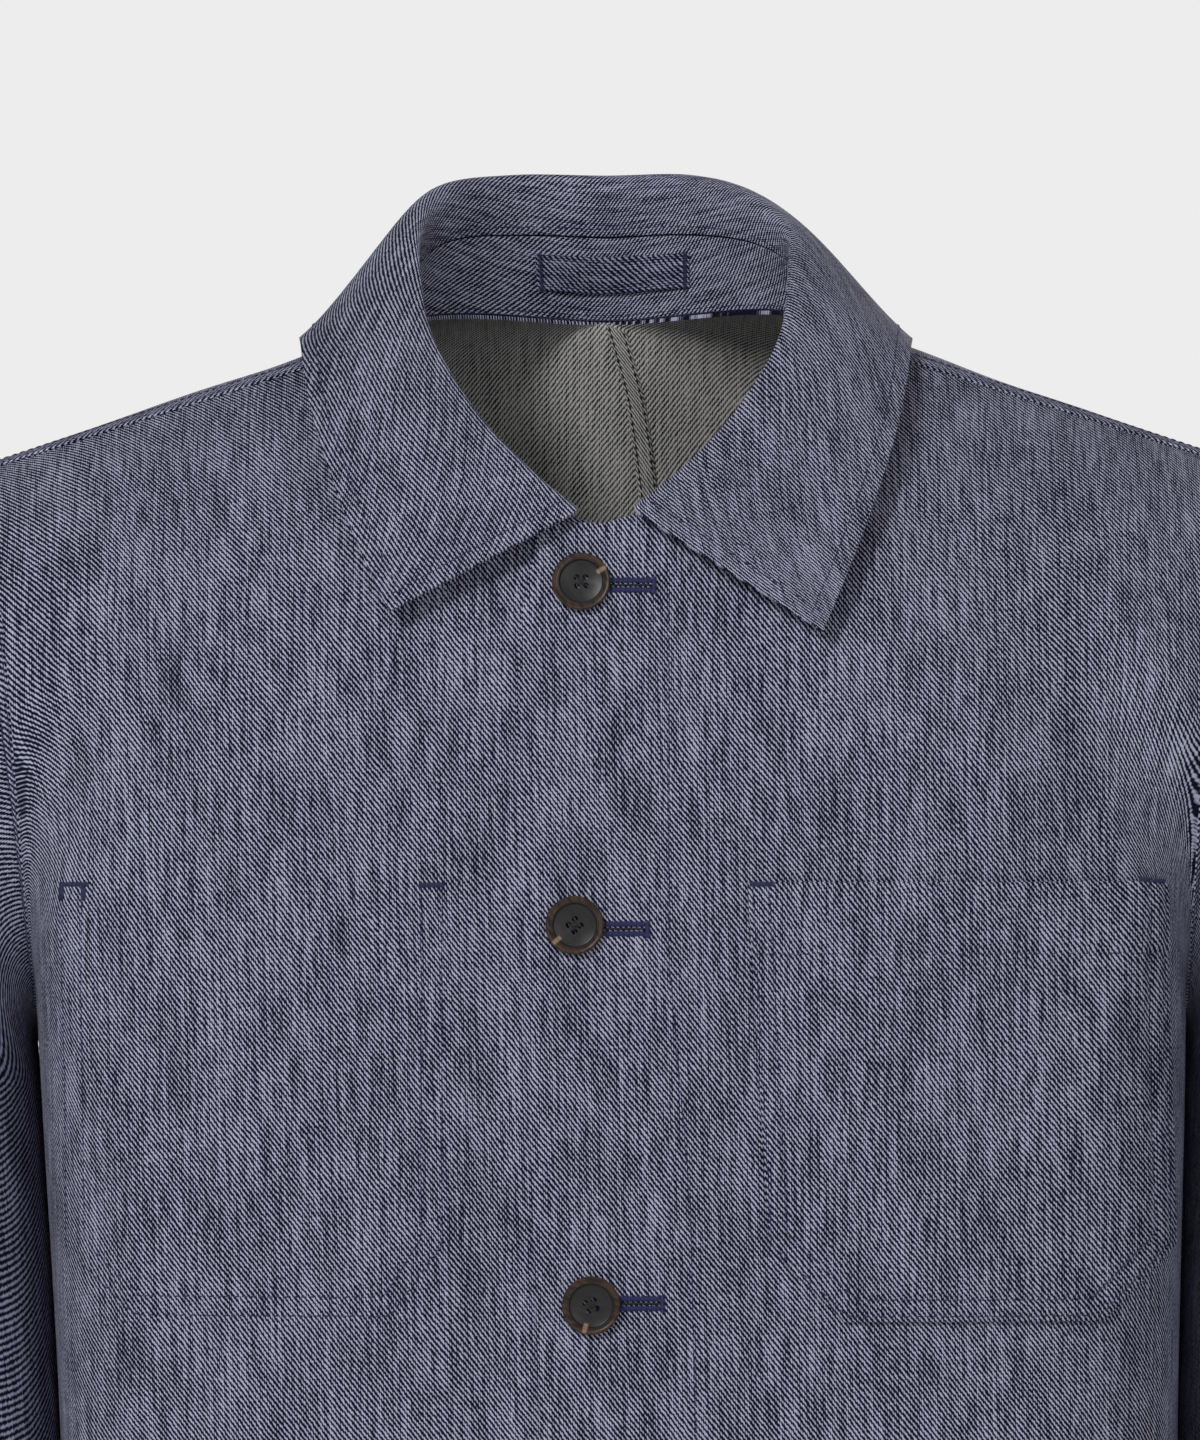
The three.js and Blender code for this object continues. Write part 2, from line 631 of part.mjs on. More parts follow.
buildFront("front_left", 1);
buildFront("front_right", -1);
buildBack("back_left", 1);
buildBack("back_right", -1);
buildSleeve("sleeve_left", 1);
buildSleeve("sleeve_right", -1);
buildCollar();
buildLoop();
buildPatch("chest_pocket", 1, CHEST_POCKET, SEAM + PATCH_EASE + CLOTH, CLOTH, INDIGO);
buildPatch("inner_pocket", -1, INNER_POCKET, -CLOTH - SEAM - INSIDE_EASE, TRIM_CLOTH, INDIGO);
buildButtons();

export default jacket;
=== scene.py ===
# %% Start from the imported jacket
import math

import bmesh
import bpy
import numpy as np
from mathutils import Matrix, Vector


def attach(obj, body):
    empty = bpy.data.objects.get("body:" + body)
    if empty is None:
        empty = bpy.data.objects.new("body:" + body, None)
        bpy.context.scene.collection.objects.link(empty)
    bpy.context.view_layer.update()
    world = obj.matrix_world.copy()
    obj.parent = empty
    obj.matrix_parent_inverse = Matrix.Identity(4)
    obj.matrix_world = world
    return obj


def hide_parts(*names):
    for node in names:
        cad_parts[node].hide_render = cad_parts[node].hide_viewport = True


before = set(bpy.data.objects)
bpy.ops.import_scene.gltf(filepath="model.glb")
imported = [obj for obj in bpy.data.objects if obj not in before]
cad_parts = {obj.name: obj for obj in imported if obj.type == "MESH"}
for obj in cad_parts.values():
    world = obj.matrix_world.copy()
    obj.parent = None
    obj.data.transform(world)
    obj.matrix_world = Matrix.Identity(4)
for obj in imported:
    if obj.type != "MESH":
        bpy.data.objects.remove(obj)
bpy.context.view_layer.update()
MM = 0.001
print("nodes to dress:", len(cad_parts))

# %% [markdown]
# The jacket is cut from flat cloth, so each piece here is one flat grid that a function lays
# on the form of the body. The same short tables give the form as in the solid model: the
# body's rounded sections, the neckline, the armholes, the sleeve rings and the collar's
# stations. Sculpting would be freer, but a function keeps the pieces' edges meeting at seams.

# %% Sizes of the cut, in millimetres
CLOTH = 1.4
COLLAR_CLOTH = 1.6
SEAM = 0.3
LAP_LIFT = 2.5
HEM_Z = -700.0
FRONT_NECK_Z = -62.0
BACK_NECK_Z = 13.0
UNDERARM_Z = -240.0
SHOULDER_AT_NECK = np.array([76.0, -18.0, 3.6])
SHOULDER_AT_ARM = np.array([238.0, -2.0, -47.5])
LEFT_SHOULDER_RISE = 2.5
RIDGE_AT_NECK = math.radians(36)
RIDGE_AT_ARM = math.radians(14)
ARMHOLE_TURN = math.radians(166)
ARMHOLE_FLARE = 80.0
SLANT_EASE = 0.7
UNDERLAP_X = 10.0
LAP_FLAT_TO = 14.0
LAP_FADE = 40.0
ARM_ROUND = 460.0
# A panel stops this near its side, and this high above its slanted line
SIDE_SHARE = 0.9995
TOP_RISE = 0.998


def table(columns, *rows):
    """A short table: the names of its columns, and a row of numbers for each section."""
    return {name: np.array([row[i] for row in rows], float) for i, name in enumerate(columns.split())}


BODY = table(
    "z wide front back square aside",
    (-700, 203, 110, 106, 4.0, 6),
    (-550, 198, 108, 100, 4.4, 6),
    (-400, 197, 110, 98, 4.6, 5),
    (-240, 203, 112, 103, 4.6, 2),
    (-150, 205, 108, 104, 4.2, 0),
    (-62, 203, 94, 96, 3.4, 0),
    (13, 190, 84, 75, 3.0, 0),
)
PANEL_REACH = table("across up over", (0, 76, 86), (0.5, 190, 150), (1, 330, 320))
LAP_EDGE = table(
    "z x", (-700, -22), (-520, -22), (-380, -23), (-256, -27), (-140, -31), (-100, -30), (-62, -23)
)
SLEEVE_RINGS = table(
    "z x y wide deep",
    (-640, 256.8, -32, 55, 64),
    (-500, 255.1, -14, 57, 71),
    (-380, 258.4, 0, 60, 78),
    (-262, 264.2, 6, 61, 84),
)
SLEEVE_LEAVE = table("round slope reach", (0, 22, 1.1), (0.5, 14, 1.0), (0.8, 32, 0.8), (1, 60, 0.6))
SLEEVE_DROP = 1.1
COLLAR_HALF = table(
    "at rollX rollY rollZ edgeX edgeY edgeZ leftX leftZ",
    (0, 0, 76, 66, 0, 99, 8, 0, 0),
    (0.15, 34, 70, 66, 46, 93, 8, -3, 0),
    (0.3, 60, 46, 61, 86, 66, 8, -7, -2),
    (0.42, 69, 15, 46, 107, 26, 7, -2, -1),
    (0.54, 68, -13, 24, 108, -22, 1, -1, 2),
    (0.66, 62, -40, 3, 103, -61, -24, 0, 0),
    (0.78, 46, -72, -24, 94, -87, -51, 0, 0),
    (0.89, 29, -91, -43, 84, -103, -75, 0, 0),
    (1, 12, -102, -58.5, 75.5, -109, -92.5, 0, 0),
)
BACK_SEAM = table("z x", (-700, 8), (-300, 12), (-80, 14), (-15, 8), (13, 0))
COLLAR_SHOULDER_AT = 0.52
COLLAR_FRONT_X = 12.0
LEFT_WING_DROP = 7.0
ROLL_RADIUS = 5.0
STAND_SHARE = 0.455
STAND_STEEP = 0.9
LEAST_TURN = 14.0

# %% [markdown]
# Every table is read through one smooth curve. Straight steps between rows would show as
# bands across the cloth, since soft light shows the slope of a surface more than its place.


# %% Curves through the tables
def bend(a, da, b, db, t):
    """The cubic that leaves a along da and reaches b along db."""
    u = 1 - t
    return a * u * u * (1 + 2 * t) + da * t * u * u + b * t * t * (3 - 2 * t) - db * t * t * u


def bend_point(a, da, b, db, t):
    return bend(a, da, b, db, np.asarray(t)[..., None])


def along(rows, key, at, column):
    keys, values = rows[key], rows[column]
    last = len(keys) - 1
    lo = np.maximum(np.arange(last + 1) - 1, 0)
    hi = np.minimum(np.arange(last + 1) + 1, last)
    slope = (values[hi] - values[lo]) / (keys[hi] - keys[lo])
    i = np.clip(np.searchsorted(keys, at, side="right") - 1, 0, last - 1)
    span = keys[i + 1] - keys[i]
    t = np.clip((at - keys[i]) / span, 0, 1)
    return bend(values[i], slope[i] * span, values[i + 1], slope[i + 1] * span, t)


def smooth(t):
    t = np.clip(t, 0, 1)
    return t * t * (3 - 2 * t)


def mix(a, b, t):
    return a + (b - a) * t


def matched(*values):
    return np.broadcast_arrays(*(np.asarray(value, float) for value in values))


def unit(v):
    return v / np.maximum(np.linalg.norm(v, axis=-1, keepdims=True), 1e-12)


def travelled(points, axis):
    """The length walked from the start of each line of points, along one axis of their grid."""
    steps = np.linalg.norm(np.diff(points, axis=axis), axis=-1)
    return np.concatenate([0 * np.take(steps, [0], axis), steps.cumsum(axis=axis)], axis=axis)


# %% [markdown]
# The body's section is a rounded box, flatter than an ellipse, because a boxy work jacket
# hangs from the shoulders without touching the waist. A point is found by the length of
# cloth from the middle of the front or back, so that the weave isn't stretched at the sides.

# %% The body's sections
ARC_STEPS = 60
ARC_ANGLES = np.linspace(0, math.pi / 2, ARC_STEPS + 1)


def section(half, z, angle):
    wide, deep = along(BODY, "z", z, "wide"), along(BODY, "z", z, half)
    square = along(BODY, "z", z, "square")
    across, out = np.abs(np.sin(angle)), np.abs(np.cos(angle))
    reach = ((across / wide) ** square + (out / deep) ** square) ** (-1 / square)
    return reach * across, reach * out


ARC_ZS = np.arange(HEM_Z - 2, BACK_NECK_Z + 5, 1.0)


ARCS = {
    half: travelled(np.stack(section(half, ARC_ZS[:, None], ARC_ANGLES), axis=-1), 1)
    for half in ("front", "back")
}


def arc_lengths(half, z):
    place = np.clip(z, ARC_ZS[0], ARC_ZS[-1]) - ARC_ZS[0]
    i = np.minimum(np.asarray(place).astype(int), len(ARC_ZS) - 2)
    return mix(ARCS[half][i], ARCS[half][i + 1], (place - i)[..., None])


def quarter_length(half, z):
    return arc_lengths(half, z)[..., -1]


def low_point(half, side, share, z):
    share, z = matched(share, z)
    lengths = arc_lengths(half, z)
    want = np.abs(share) * lengths[..., -1]
    i = np.clip((lengths < want[..., None]).sum(axis=-1), 1, ARC_STEPS)
    before = np.take_along_axis(lengths, (i - 1)[..., None], -1)[..., 0]
    after = np.take_along_axis(lengths, i[..., None], -1)[..., 0]
    angle = (i - 1 + (want - before) / (after - before)) / ARC_STEPS * (math.pi / 2)
    x, y = section(half, z, angle)
    facing = -1 if half == "front" else 1
    sign = np.where(share < 0, -1, 1)
    return np.stack([side * sign * x + along(BODY, "z", z, "aside"), facing * y, z], axis=-1)


# %% [markdown]
# Above a slanted line from the neck to the underarm, each upright line of a panel bends
# over to the shoulder seam. The first line is then the neckline and the last the armhole.


# %% Panels
def slant_z(half, share):
    neck = FRONT_NECK_Z if half == "front" else BACK_NECK_Z
    return mix(neck, UNDERARM_Z, mix(share, smooth(share), SLANT_EASE))


def shoulder_seam(side, share):
    point = mix(SHOULDER_AT_NECK, SHOULDER_AT_ARM, np.asarray(share)[..., None])
    return point * np.array([side, 1, 1]) + np.array([0, 0, LEFT_SHOULDER_RISE * (side > 0)])


STEP = 1e-3


def high_point(half, side, share, rise):
    z = slant_z(half, share)
    start = low_point(half, side, share, z)
    step = np.where(share + STEP <= 1, STEP, -STEP)
    around = unit((low_point(half, side, share + step, z) - start) * np.sign(step)[..., None])
    upward = unit(low_point(half, side, share, z + 1) - low_point(half, side, share, z - 1))
    turn = (ARMHOLE_TURN * share)[..., None]
    reach = along(PANEL_REACH, "across", share, "up")[..., None]
    leave = (around * np.cos(turn) + upward * np.sin(turn)) * reach
    ridge = mix(RIDGE_AT_NECK, RIDGE_AT_ARM, share)
    rearward = 1 if half == "front" else -1
    over = np.stack([0 * ridge, np.cos(ridge), np.sin(ridge)], axis=-1) * rearward
    over = over * along(PANEL_REACH, "across", share, "over")[..., None]
    seamway = unit(shoulder_seam(side, 1.0) - shoulder_seam(side, 0.0))
    over = over + seamway * (ARMHOLE_FLARE * share**2)[..., None]
    return bend_point(start, leave, shoulder_seam(side, share), over, rise)


def panel_point(half, side, share, level):
    """level 0 is the hem, 1 the slanted line, 2 the shoulder; share 0 is the middle, 1 the side."""
    share, level = matched(share, level)
    inside = np.maximum(share, 0)
    low = low_point(half, side, share, mix(HEM_Z, slant_z(half, inside), np.minimum(level, 1)))
    high = high_point(half, side, inside, np.maximum(level - 1, 0))
    return np.where((level > 1)[..., None], high, low)


def outward(at, u, v, flip):
    u, v = matched(u, v)
    du = np.where(u + STEP <= 1, STEP, -STEP)
    dv = np.where(v - STEP >= 0, -STEP, STEP)
    here = at(u, v)
    by_u = (at(u + du, v) - here) * np.sign(du)[..., None]
    by_v = (at(u, v + dv) - here) * np.sign(dv)[..., None]
    return unit(np.cross(by_u, by_v)) * (-1 if flip else 1)


def lap_lift(x):
    return LAP_LIFT * (1 - smooth((x - LAP_FLAT_TO) / LAP_FADE))


def front_point(side, share, level):
    base = panel_point("front", side, share, level)
    if side < 0:
        return base
    normal = outward(lambda u, v: panel_point("front", side, u, v), share, level, False)
    return base + normal * lap_lift(base[..., 0])[..., None]


def sleeve_ring(half, side, turn, z):
    facing = -1 if half == "front" else 1
    x, y, wide, deep = (along(SLEEVE_RINGS, "z", z, column) for column in ("x", "y", "wide", "deep"))
    x = side * (x + wide * np.cos(math.pi * turn)) + along(BODY, "z", z, "aside")
    return np.stack([x, y + facing * deep * np.sin(math.pi * turn), z], axis=-1)


SLEEVE_HEAD_Z = SLEEVE_RINGS["z"][-1]
CUFF_Z = SLEEVE_RINGS["z"][0]


def sleeve_half(half, side, turn, way):
    """turn 0 is the shoulder, 1 the underarm; way 0 the armhole, 1 the first ring, 2 the cuff."""
    low = sleeve_ring(half, side, turn, mix(SLEEVE_HEAD_Z, CUFF_Z, np.maximum(way - 1, 0)))
    start = panel_point(half, side, np.ones_like(turn), 2 - turn)
    end = sleeve_ring(half, side, turn, np.full_like(turn, SLEEVE_HEAD_Z))
    chord = np.linalg.norm(end - start, axis=-1)
    slope = np.radians(along(SLEEVE_LEAVE, "round", turn, "slope"))
    leave = np.stack([side * np.cos(slope), 0 * slope, -np.sin(slope)], axis=-1)
    leave = leave * (chord * along(SLEEVE_LEAVE, "round", turn, "reach"))[..., None]
    arrive = np.stack([0 * chord, 0 * chord, -chord * SLEEVE_DROP], axis=-1)
    head = bend_point(start, leave, end, arrive, np.minimum(way, 1))
    return np.where((way > 1)[..., None], low, head)


def sleeve_point(side, round_share, way):
    round_share, way = matched(round_share % 1, way)
    front = sleeve_half("front", side, np.minimum(round_share * 2, 1), way)
    back = sleeve_half("back", side, np.clip(2 - round_share * 2, 0, 1), way)
    return np.where((round_share < 0.5)[..., None], front, back)


# %% [markdown]
# Worn cloth isn't smooth. Soft troughs and ridges lie where a wearer's arms and chest pull it:
# from the armholes to the chest, beside the buttoned edge, across the elbows and down the
# back. Each is one row of a table, and no two have the same length, depth or lean.

# %% Folds
FOLDS = {
    "front": (
        (113, -56, -35, 62, 12, -1.3), (101, -40, -33, 48, 9, 0.8), (-104, -62, 30, 66, 13, -1.1),
        (-128, -40, 38, 44, 9, 0.7), (-38, -260, 1, 200, 11, -2.2), (-62, -420, -4, 130, 20, 1.4),
        (42, -430, 3, 120, 16, -1.3), (168, -150, 24, 62, 17, -1.8), (186, -196, 14, 74, 12, 1.3),
        (-164, -158, -22, 70, 18, -1.9), (-186, -214, -12, 88, 13, 1.5),
        (-150, -400, 8, 110, 24, -1.8), (-96, -560, -5, 120, 22, 1.7), (92, -520, 6, 130, 24, -2.0),
        (150, -600, -3, 90, 20, 1.6), (-30, -620, 2, 90, 16, -1.3), (30, -120, 12, 60, 14, -0.9),
        (-52, -150, -14, 70, 14, -0.9),
    ),
    "back": (
        (-86, -120, -14, 120, 26, -3.3), (102, -140, 16, 104, 23, -3.0),
        (-150, -180, 20, 90, 18, 2.5), (158, -210, -18, 100, 19, 2.7),
        (-40, -330, 5, 140, 24, -2.7), (60, -380, -7, 150, 26, -3.2), (-120, -500, 4, 120, 22, 2.8),
        (128, -540, -3, 110, 23, 2.5), (14, -600, 2, 90, 20, -2.1), (8, -60, 1, 70, 17, -1.5),
    ),
    "sleeve": (
        (-40, -395, 62, 70, 12, -3.6), (-60, -440, 70, 62, 10, 2.4), (70, -372, -58, 64, 12, -2.8),
        (20, -300, 18, 60, 15, -3.0), (-120, -330, -30, 70, 16, -3.3), (120, -470, 52, 58, 11, 2.2),
        (-10, -540, 12, 74, 16, -2.7), (96, -580, -16, 60, 15, 2.1), (-150, -520, 24, 66, 17, -2.4),
        (150, -290, -44, 48, 13, -2.4),
    ),
}


def fold_depth(rows, x, z):
    """How far the folds lift the cloth. A row: middle, lean in degrees, length, width, height."""
    total = np.zeros(np.broadcast(x, z).shape)
    for middle_x, middle_z, lean, length, width, height in rows:
        turn = math.radians(lean)
        beside = ((x - middle_x) * math.cos(turn) - (z - middle_z) * math.sin(turn)) / width
        down = ((x - middle_x) * math.sin(turn) + (z - middle_z) * math.cos(turn)) / length
        total = total + height * (1 - 0.8 * beside**2) * np.exp(-0.7 * beside**2 - down**2)
    return total


def faces_in(half, side):
    """Whether a panel's grid faces the wearer as it is laid."""
    return (side < 0) != (half == "back")


def skin(half, side, share, level):
    """The outer face of a front or back as it hangs, with its folds."""
    if half == "front":
        at = lambda u, v: front_point(side, u, v)
    else:
        at = lambda u, v: panel_point("back", side, u, v)
    share, level = matched(share, level)
    base = at(share, level)
    height = fold_depth(FOLDS[half], base[..., 0], base[..., 2])
    height = height * smooth((2 - level) / 0.15) * smooth((1 - share) / 0.08)
    height = height * np.where(level > 1, smooth(share / 0.06), 1)
    return base + outward(at, share, level, faces_in(half, side)) * height[..., None]


def sleeve_skin(side, turn, way):
    at = lambda u, v: sleeve_point(side, u, v)
    turn, way = matched(turn, way)
    base = at(turn, way)
    round_cloth = ((turn + 0.5) % 1 - 0.5) * ARM_ROUND
    height = fold_depth(FOLDS["sleeve"], round_cloth * side, base[..., 2] + 12 * side)
    height = height * smooth(way / 0.5) * smooth((0.5 - np.abs(round_cloth / ARM_ROUND)) / 0.06)
    du = (at(turn + STEP, way) - at(turn - STEP, way)) / 2
    dv = at(turn, np.minimum(way + STEP, 2)) - at(turn, np.maximum(way - STEP, 0))
    return base + unit(np.cross(du, dv)) * side * height[..., None]


def find_on_front(side, x, z):
    """The share and level at which a front passes through a place seen from the front."""
    share = side * x / quarter_length("front", z)
    level = (z - HEM_Z) / (slant_z("front", np.maximum(share, 0)) - HEM_Z)
    for _ in range(7):
        here = panel_point("front", side, share, level)
        by_share = (panel_point("front", side, share + STEP, level) - here) / STEP
        by_level = (panel_point("front", side, share, level + STEP) - here) / STEP
        det = by_share[..., 0] * by_level[..., 2] - by_level[..., 0] * by_share[..., 2]
        dx, dz = x - here[..., 0], z - here[..., 2]
        share = share + (dx * by_level[..., 2] - by_level[..., 0] * dz) / det
        level = level + (by_share[..., 0] * dz - dx * by_share[..., 2]) / det
    return share, level


def over(at, u, v, flip, lift):
    """Points at a height over a surface, on the side that shows."""
    return at(u, v) + outward(at, u, v, flip) * np.asarray(lift)[..., None]


def over_front(side, x, z, lift):
    x, z = matched(x, z)
    share, level = find_on_front(side, x, z)
    return over(lambda u, v: skin("front", side, u, v), share, level, faces_in("front", side), lift)


# %% [markdown]
# The collar rises from the neckline, rolls over and falls as a leaf with two points. Its
# stations run from the wearer's right front end (-1), round the back (0), to the left end (1).


# %% Collar surface
def both_wings(half):
    right = {name: values[:0:-1].copy() for name, values in half.items()}
    for name in ("at", "rollX", "edgeX"):
        right[name] *= -1
    left = {name: values.copy() for name, values in half.items()}
    left["rollX"] += left["leftX"]
    left["rollZ"] += left["leftZ"]
    left["edgeZ"] -= LEFT_WING_DROP * left["at"] ** 4
    return {name: np.concatenate([right[name], left[name]]) for name in half}


COLLAR = both_wings(COLLAR_HALF)


def collar_spot(at, kind):
    return np.stack([along(COLLAR, "at", at, kind + axis) for axis in "XYZ"], axis=-1)


def neckline_point(at):
    end = COLLAR_FRONT_X / PANEL_REACH["up"][0]
    way = np.abs(at)
    back_rise = np.minimum(way / COLLAR_SHOULDER_AT, 1)
    front_rise = mix(1, end, np.maximum(way - COLLAR_SHOULDER_AT, 0) / (1 - COLLAR_SHOULDER_AT))
    points = []
    for side in (-1, 1):
        back = panel_point("back", side, np.zeros_like(way), 1 + back_rise)
        front = front_point(side, np.zeros_like(way), 1 + front_rise)
        points.append(np.where((way <= COLLAR_SHOULDER_AT)[..., None], back, front))
    return np.where((at < 0)[..., None], *points)


def collar_point(at, way):
    """way 0 is the neck seam, 1 the roll and 2 the leaf's edge."""
    at, way = matched(at, way)
    seam, roll, edge = neckline_point(at), collar_spot(at, "roll"), collar_spot(at, "edge")
    out = edge - seam
    out[..., 2] *= np.abs(at)
    out = unit(out)
    rise = np.linalg.norm(roll - seam, axis=-1)
    fall = np.linalg.norm(edge - roll, axis=-1)
    up = roll - seam
    up[..., 2] = np.maximum(up[..., 2], STAND_STEEP * rise)
    up = unit(up) * np.maximum(rise, LEAST_TURN)[..., None]
    turn_in = np.sqrt(6 * ROLL_RADIUS * np.maximum(rise, LEAST_TURN))[..., None]
    turn_out = np.sqrt(6 * ROLL_RADIUS * np.maximum(fall, LEAST_TURN))[..., None]
    inside = bend_point(seam, up, roll, out * turn_in, np.minimum(way, 1))
    outside = bend_point(roll, out * turn_out, edge, edge - roll, np.maximum(way - 1, 0))
    return np.where((way > 1)[..., None], outside, inside)


# %% [markdown]
# Each piece of cloth starts as a flat bmesh grid, and its vertices are moved to the surface.
# The grid's UVs hold the place on the flat cloth in decimetres, so the weave follows the cut.
# A Solidify modifier gives the thickness, towards the wrong side, which has its own material.

# %% From a grid to cloth
UV_UNIT = 100.0


def lay_grid(points, cloth_uv, flip, drop=None):
    """A bmesh grid of points[i, j]; cloth_uv is in millimetres, drop marks cells to leave out."""
    columns, rows = points.shape[0] - 1, points.shape[1] - 1
    bm = bmesh.new()
    bmesh.ops.create_grid(bm, x_segments=columns, y_segments=rows, size=1, calc_uvs=True)
    place = {}
    for vert in bm.verts:
        place[vert] = (round((vert.co.x + 1) / 2 * columns), round((vert.co.y + 1) / 2 * rows))
    layer = bm.loops.layers.uv.verify()
    for face in bm.faces:
        for loop in face.loops:
            loop[layer].uv = cloth_uv[place[loop.vert]] / UV_UNIT
    if drop is not None:
        gone = [f for f in bm.faces if drop(*np.min([place[v] for v in f.verts], axis=0))]
        bmesh.ops.delete(bm, geom=gone, context="FACES")
    for vert in bm.verts:
        vert.co = points[place[vert]] * MM
    if flip:
        bmesh.ops.reverse_faces(bm, faces=bm.faces)
    return bm


def add_object(name, data):
    thing = bpy.data.objects.new(name, data)
    bpy.context.scene.collection.objects.link(thing)
    return thing


def mesh_of(name, bm):
    mesh = bpy.data.meshes.new(name)
    bm.to_mesh(mesh)
    bm.free()
    return mesh


def finish_piece(name, bm, *materials):
    for face in bm.faces:
        face.smooth = True
    piece = add_object(name, mesh_of(name, bm))
    for material in materials:
        piece.data.materials.append(material)
    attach(piece, "root")
    return piece


def thicken(piece, thick, wrong_side, rim=0):
    solid = piece.modifiers.new("thickness", "SOLIDIFY")
    solid.thickness = thick * MM
    solid.offset = -1
    solid.use_quality_normals = True
    solid.material_offset = wrong_side
    solid.material_offset_rim = rim
    edge = piece.modifiers.new("edges", "BEVEL")
    edge.width = 0.3 * MM
    edge.segments = 2
    edge.limit_method = "ANGLE"
    edge.angle_limit = math.radians(50)
    edge.harden_normals = False


# %% [markdown]
# The cloth is a 3/1 twill: indigo warp with ecru weft, and slubs as in linen. A weaver would
# see fine diagonal lines, broken by darker streaks along the warp. An image of cloth would be
# quicker, but the weave is drawn with nodes here, on the cloth's own coordinates.

# %% Colours and a node helper
def linear(hex_colour):
    parts = [int(hex_colour[i : i + 2], 16) / 255 for i in (1, 3, 5)]
    return [c / 12.92 if c <= 0.04045 else ((c + 0.055) / 1.055) ** 2.4 for c in parts] + [1.0]


def node(tree, kind, settings=None, **inputs):
    """Adds a node: its properties, then its inputs, by name or by number, as i0 is the first.

    An input is a value, a socket, or a node whose first output is meant.
    """
    made = tree.nodes.new(kind)
    for key, value in (settings or {}).items():
        setattr(made, key, value)
    for key, value in inputs.items():
        socket = made.inputs[int(key[1:]) if key[1:].isdigit() else key.replace("_", " ")]
        value = value.outputs[0] if isinstance(value, bpy.types.Node) else value
        if isinstance(value, bpy.types.NodeSocket):
            tree.links.new(value, socket)
        else:
            socket.default_value = value
    return made


def new_material(name):
    material = bpy.data.materials.new(name)
    material.use_nodes = True
    tree = material.node_tree
    tree.nodes.clear()
    return material, tree


# %% Twill
TWILL_PITCH = 1.4
TWILL_ANGLE = math.radians(52)
THREAD_PITCH = 0.8
MATH = "ShaderNodeMath"
ADD, LESS = {"operation": "ADD"}, {"operation": "SUBTRACT"}
TIMES, TIMES_ADD = {"operation": "MULTIPLY"}, {"operation": "MULTIPLY_ADD"}
SINE, SIZE = {"operation": "SINE"}, {"operation": "ABSOLUTE"}
COLOURS = {"data_type": "RGBA"}
# Clouds of noise on the cloth: how often across and up a decimetre, detail and shift
CLOUDS = {
    "slub": (72, 4.2, 3.0, 1.3),
    "weft_slub": (9, 130, 2.0, 5.9),
    "patch": (5, 2.2, 2.0, 9.2),
    "fibre": (170, 22, 2.0, 7.7),
    "sway": (60, 25, 1.0, 3.1),
    "drift": (3, 2, 1.0, 6.3),
}
SHADES = {"slub": 1.3, "weft_slub": 0.5, "patch": 0.45, "fibre": 0.9}


def twill_material(name, dark, light, streak, share, contrast):
    """streak is how far the noise changes the shade, share how much of the cloth is pale."""
    material, tree = new_material(name)
    uv = node(tree, "ShaderNodeUVMap")
    parts = node(tree, "ShaderNodeSeparateXYZ", i0=uv)
    u, v = parts.outputs[0], parts.outputs[1]
    cloud = {}
    for kind, (across, up, detail, shift) in CLOUDS.items():
        place = node(
            tree, "ShaderNodeMapping", Vector=uv, Scale=(across, up, 1), Location=(shift, shift, 0)
        )
        flat = {"noise_dimensions": "2D"}
        cloud[kind] = node(
            tree, "ShaderNodeTexNoise", flat, Vector=place, Scale=1.0, Detail=detail, Roughness=0.6
        )
    turns, threads = 2 * math.pi * UV_UNIT / TWILL_PITCH, 2 * math.pi * UV_UNIT / THREAD_PITCH
    drift = node(tree, MATH, TIMES, i0=cloud["drift"], i1=9.0)
    wander = node(tree, MATH, TIMES_ADD, i0=cloud["sway"], i1=2.2, i2=drift)
    phase = node(tree, MATH, TIMES, i0=u, i1=turns * math.sin(TWILL_ANGLE))
    phase = node(tree, MATH, TIMES_ADD, i0=v, i1=turns * math.cos(TWILL_ANGLE), i2=phase)
    wave = node(tree, MATH, SINE, i0=node(tree, MATH, ADD, i0=phase, i1=wander))
    beads = node(tree, MATH, SINE, i0=node(tree, MATH, TIMES, i0=u, i1=threads))
    lines = node(tree, MATH, TIMES_ADD, i0=beads, i1=0.4, i2=wave)
    level = share
    for kind, weight in SHADES.items():
        off = node(tree, MATH, LESS, i0=cloud[kind], i1=0.5)
        level = node(tree, MATH, TIMES_ADD, i0=off, i1=streak * weight, i2=level)
    lit = node(tree, "ShaderNodeClamp", i0=node(tree, MATH, TIMES_ADD, i0=lines, i1=contrast, i2=level))
    colour = node(tree, "ShaderNodeMix", COLOURS, i0=lit, i6=linear(dark), i7=linear(light))
    height = node(tree, MATH, TIMES, i0=cloud["slub"], i1=1.2)
    height = node(tree, MATH, TIMES_ADD, i0=lines, i1=0.5, i2=height)
    bump = node(tree, "ShaderNodeBump", Strength=0.35, Distance=0.0003, Height=height)
    look = {"Roughness": 0.85, "Sheen_Weight": 0.03, "Specular_IOR_Level": 0.1}
    shader = node(
        tree, "ShaderNodeBsdfPrincipled", Base_Color=colour.outputs[2], Normal=bump, **look
    )
    node(tree, "ShaderNodeOutputMaterial", Surface=shader)
    return material


TWILL = twill_material("slubbed_twill_face", "#14162e", "#d4d6f2", 1.3, 0.17, 0.78)
TWILL_BACK = twill_material("slubbed_twill_wrong_side", "#1e1c22", "#e8e6e4", 0.7, 0.6, 0.6)
TWILL_STRIP = twill_material("folded_twill_strip", "#14162c", "#bfc1e0", 1.2, 0.14, 0.75)
print("twill lines", TWILL_PITCH, "mm apart")


# %% [markdown]
# The sewing thread is navy polyester, spun and slightly glossy. Buttons are dark horn: cut,
# turned and polished, with brown streaks through a near black ground.

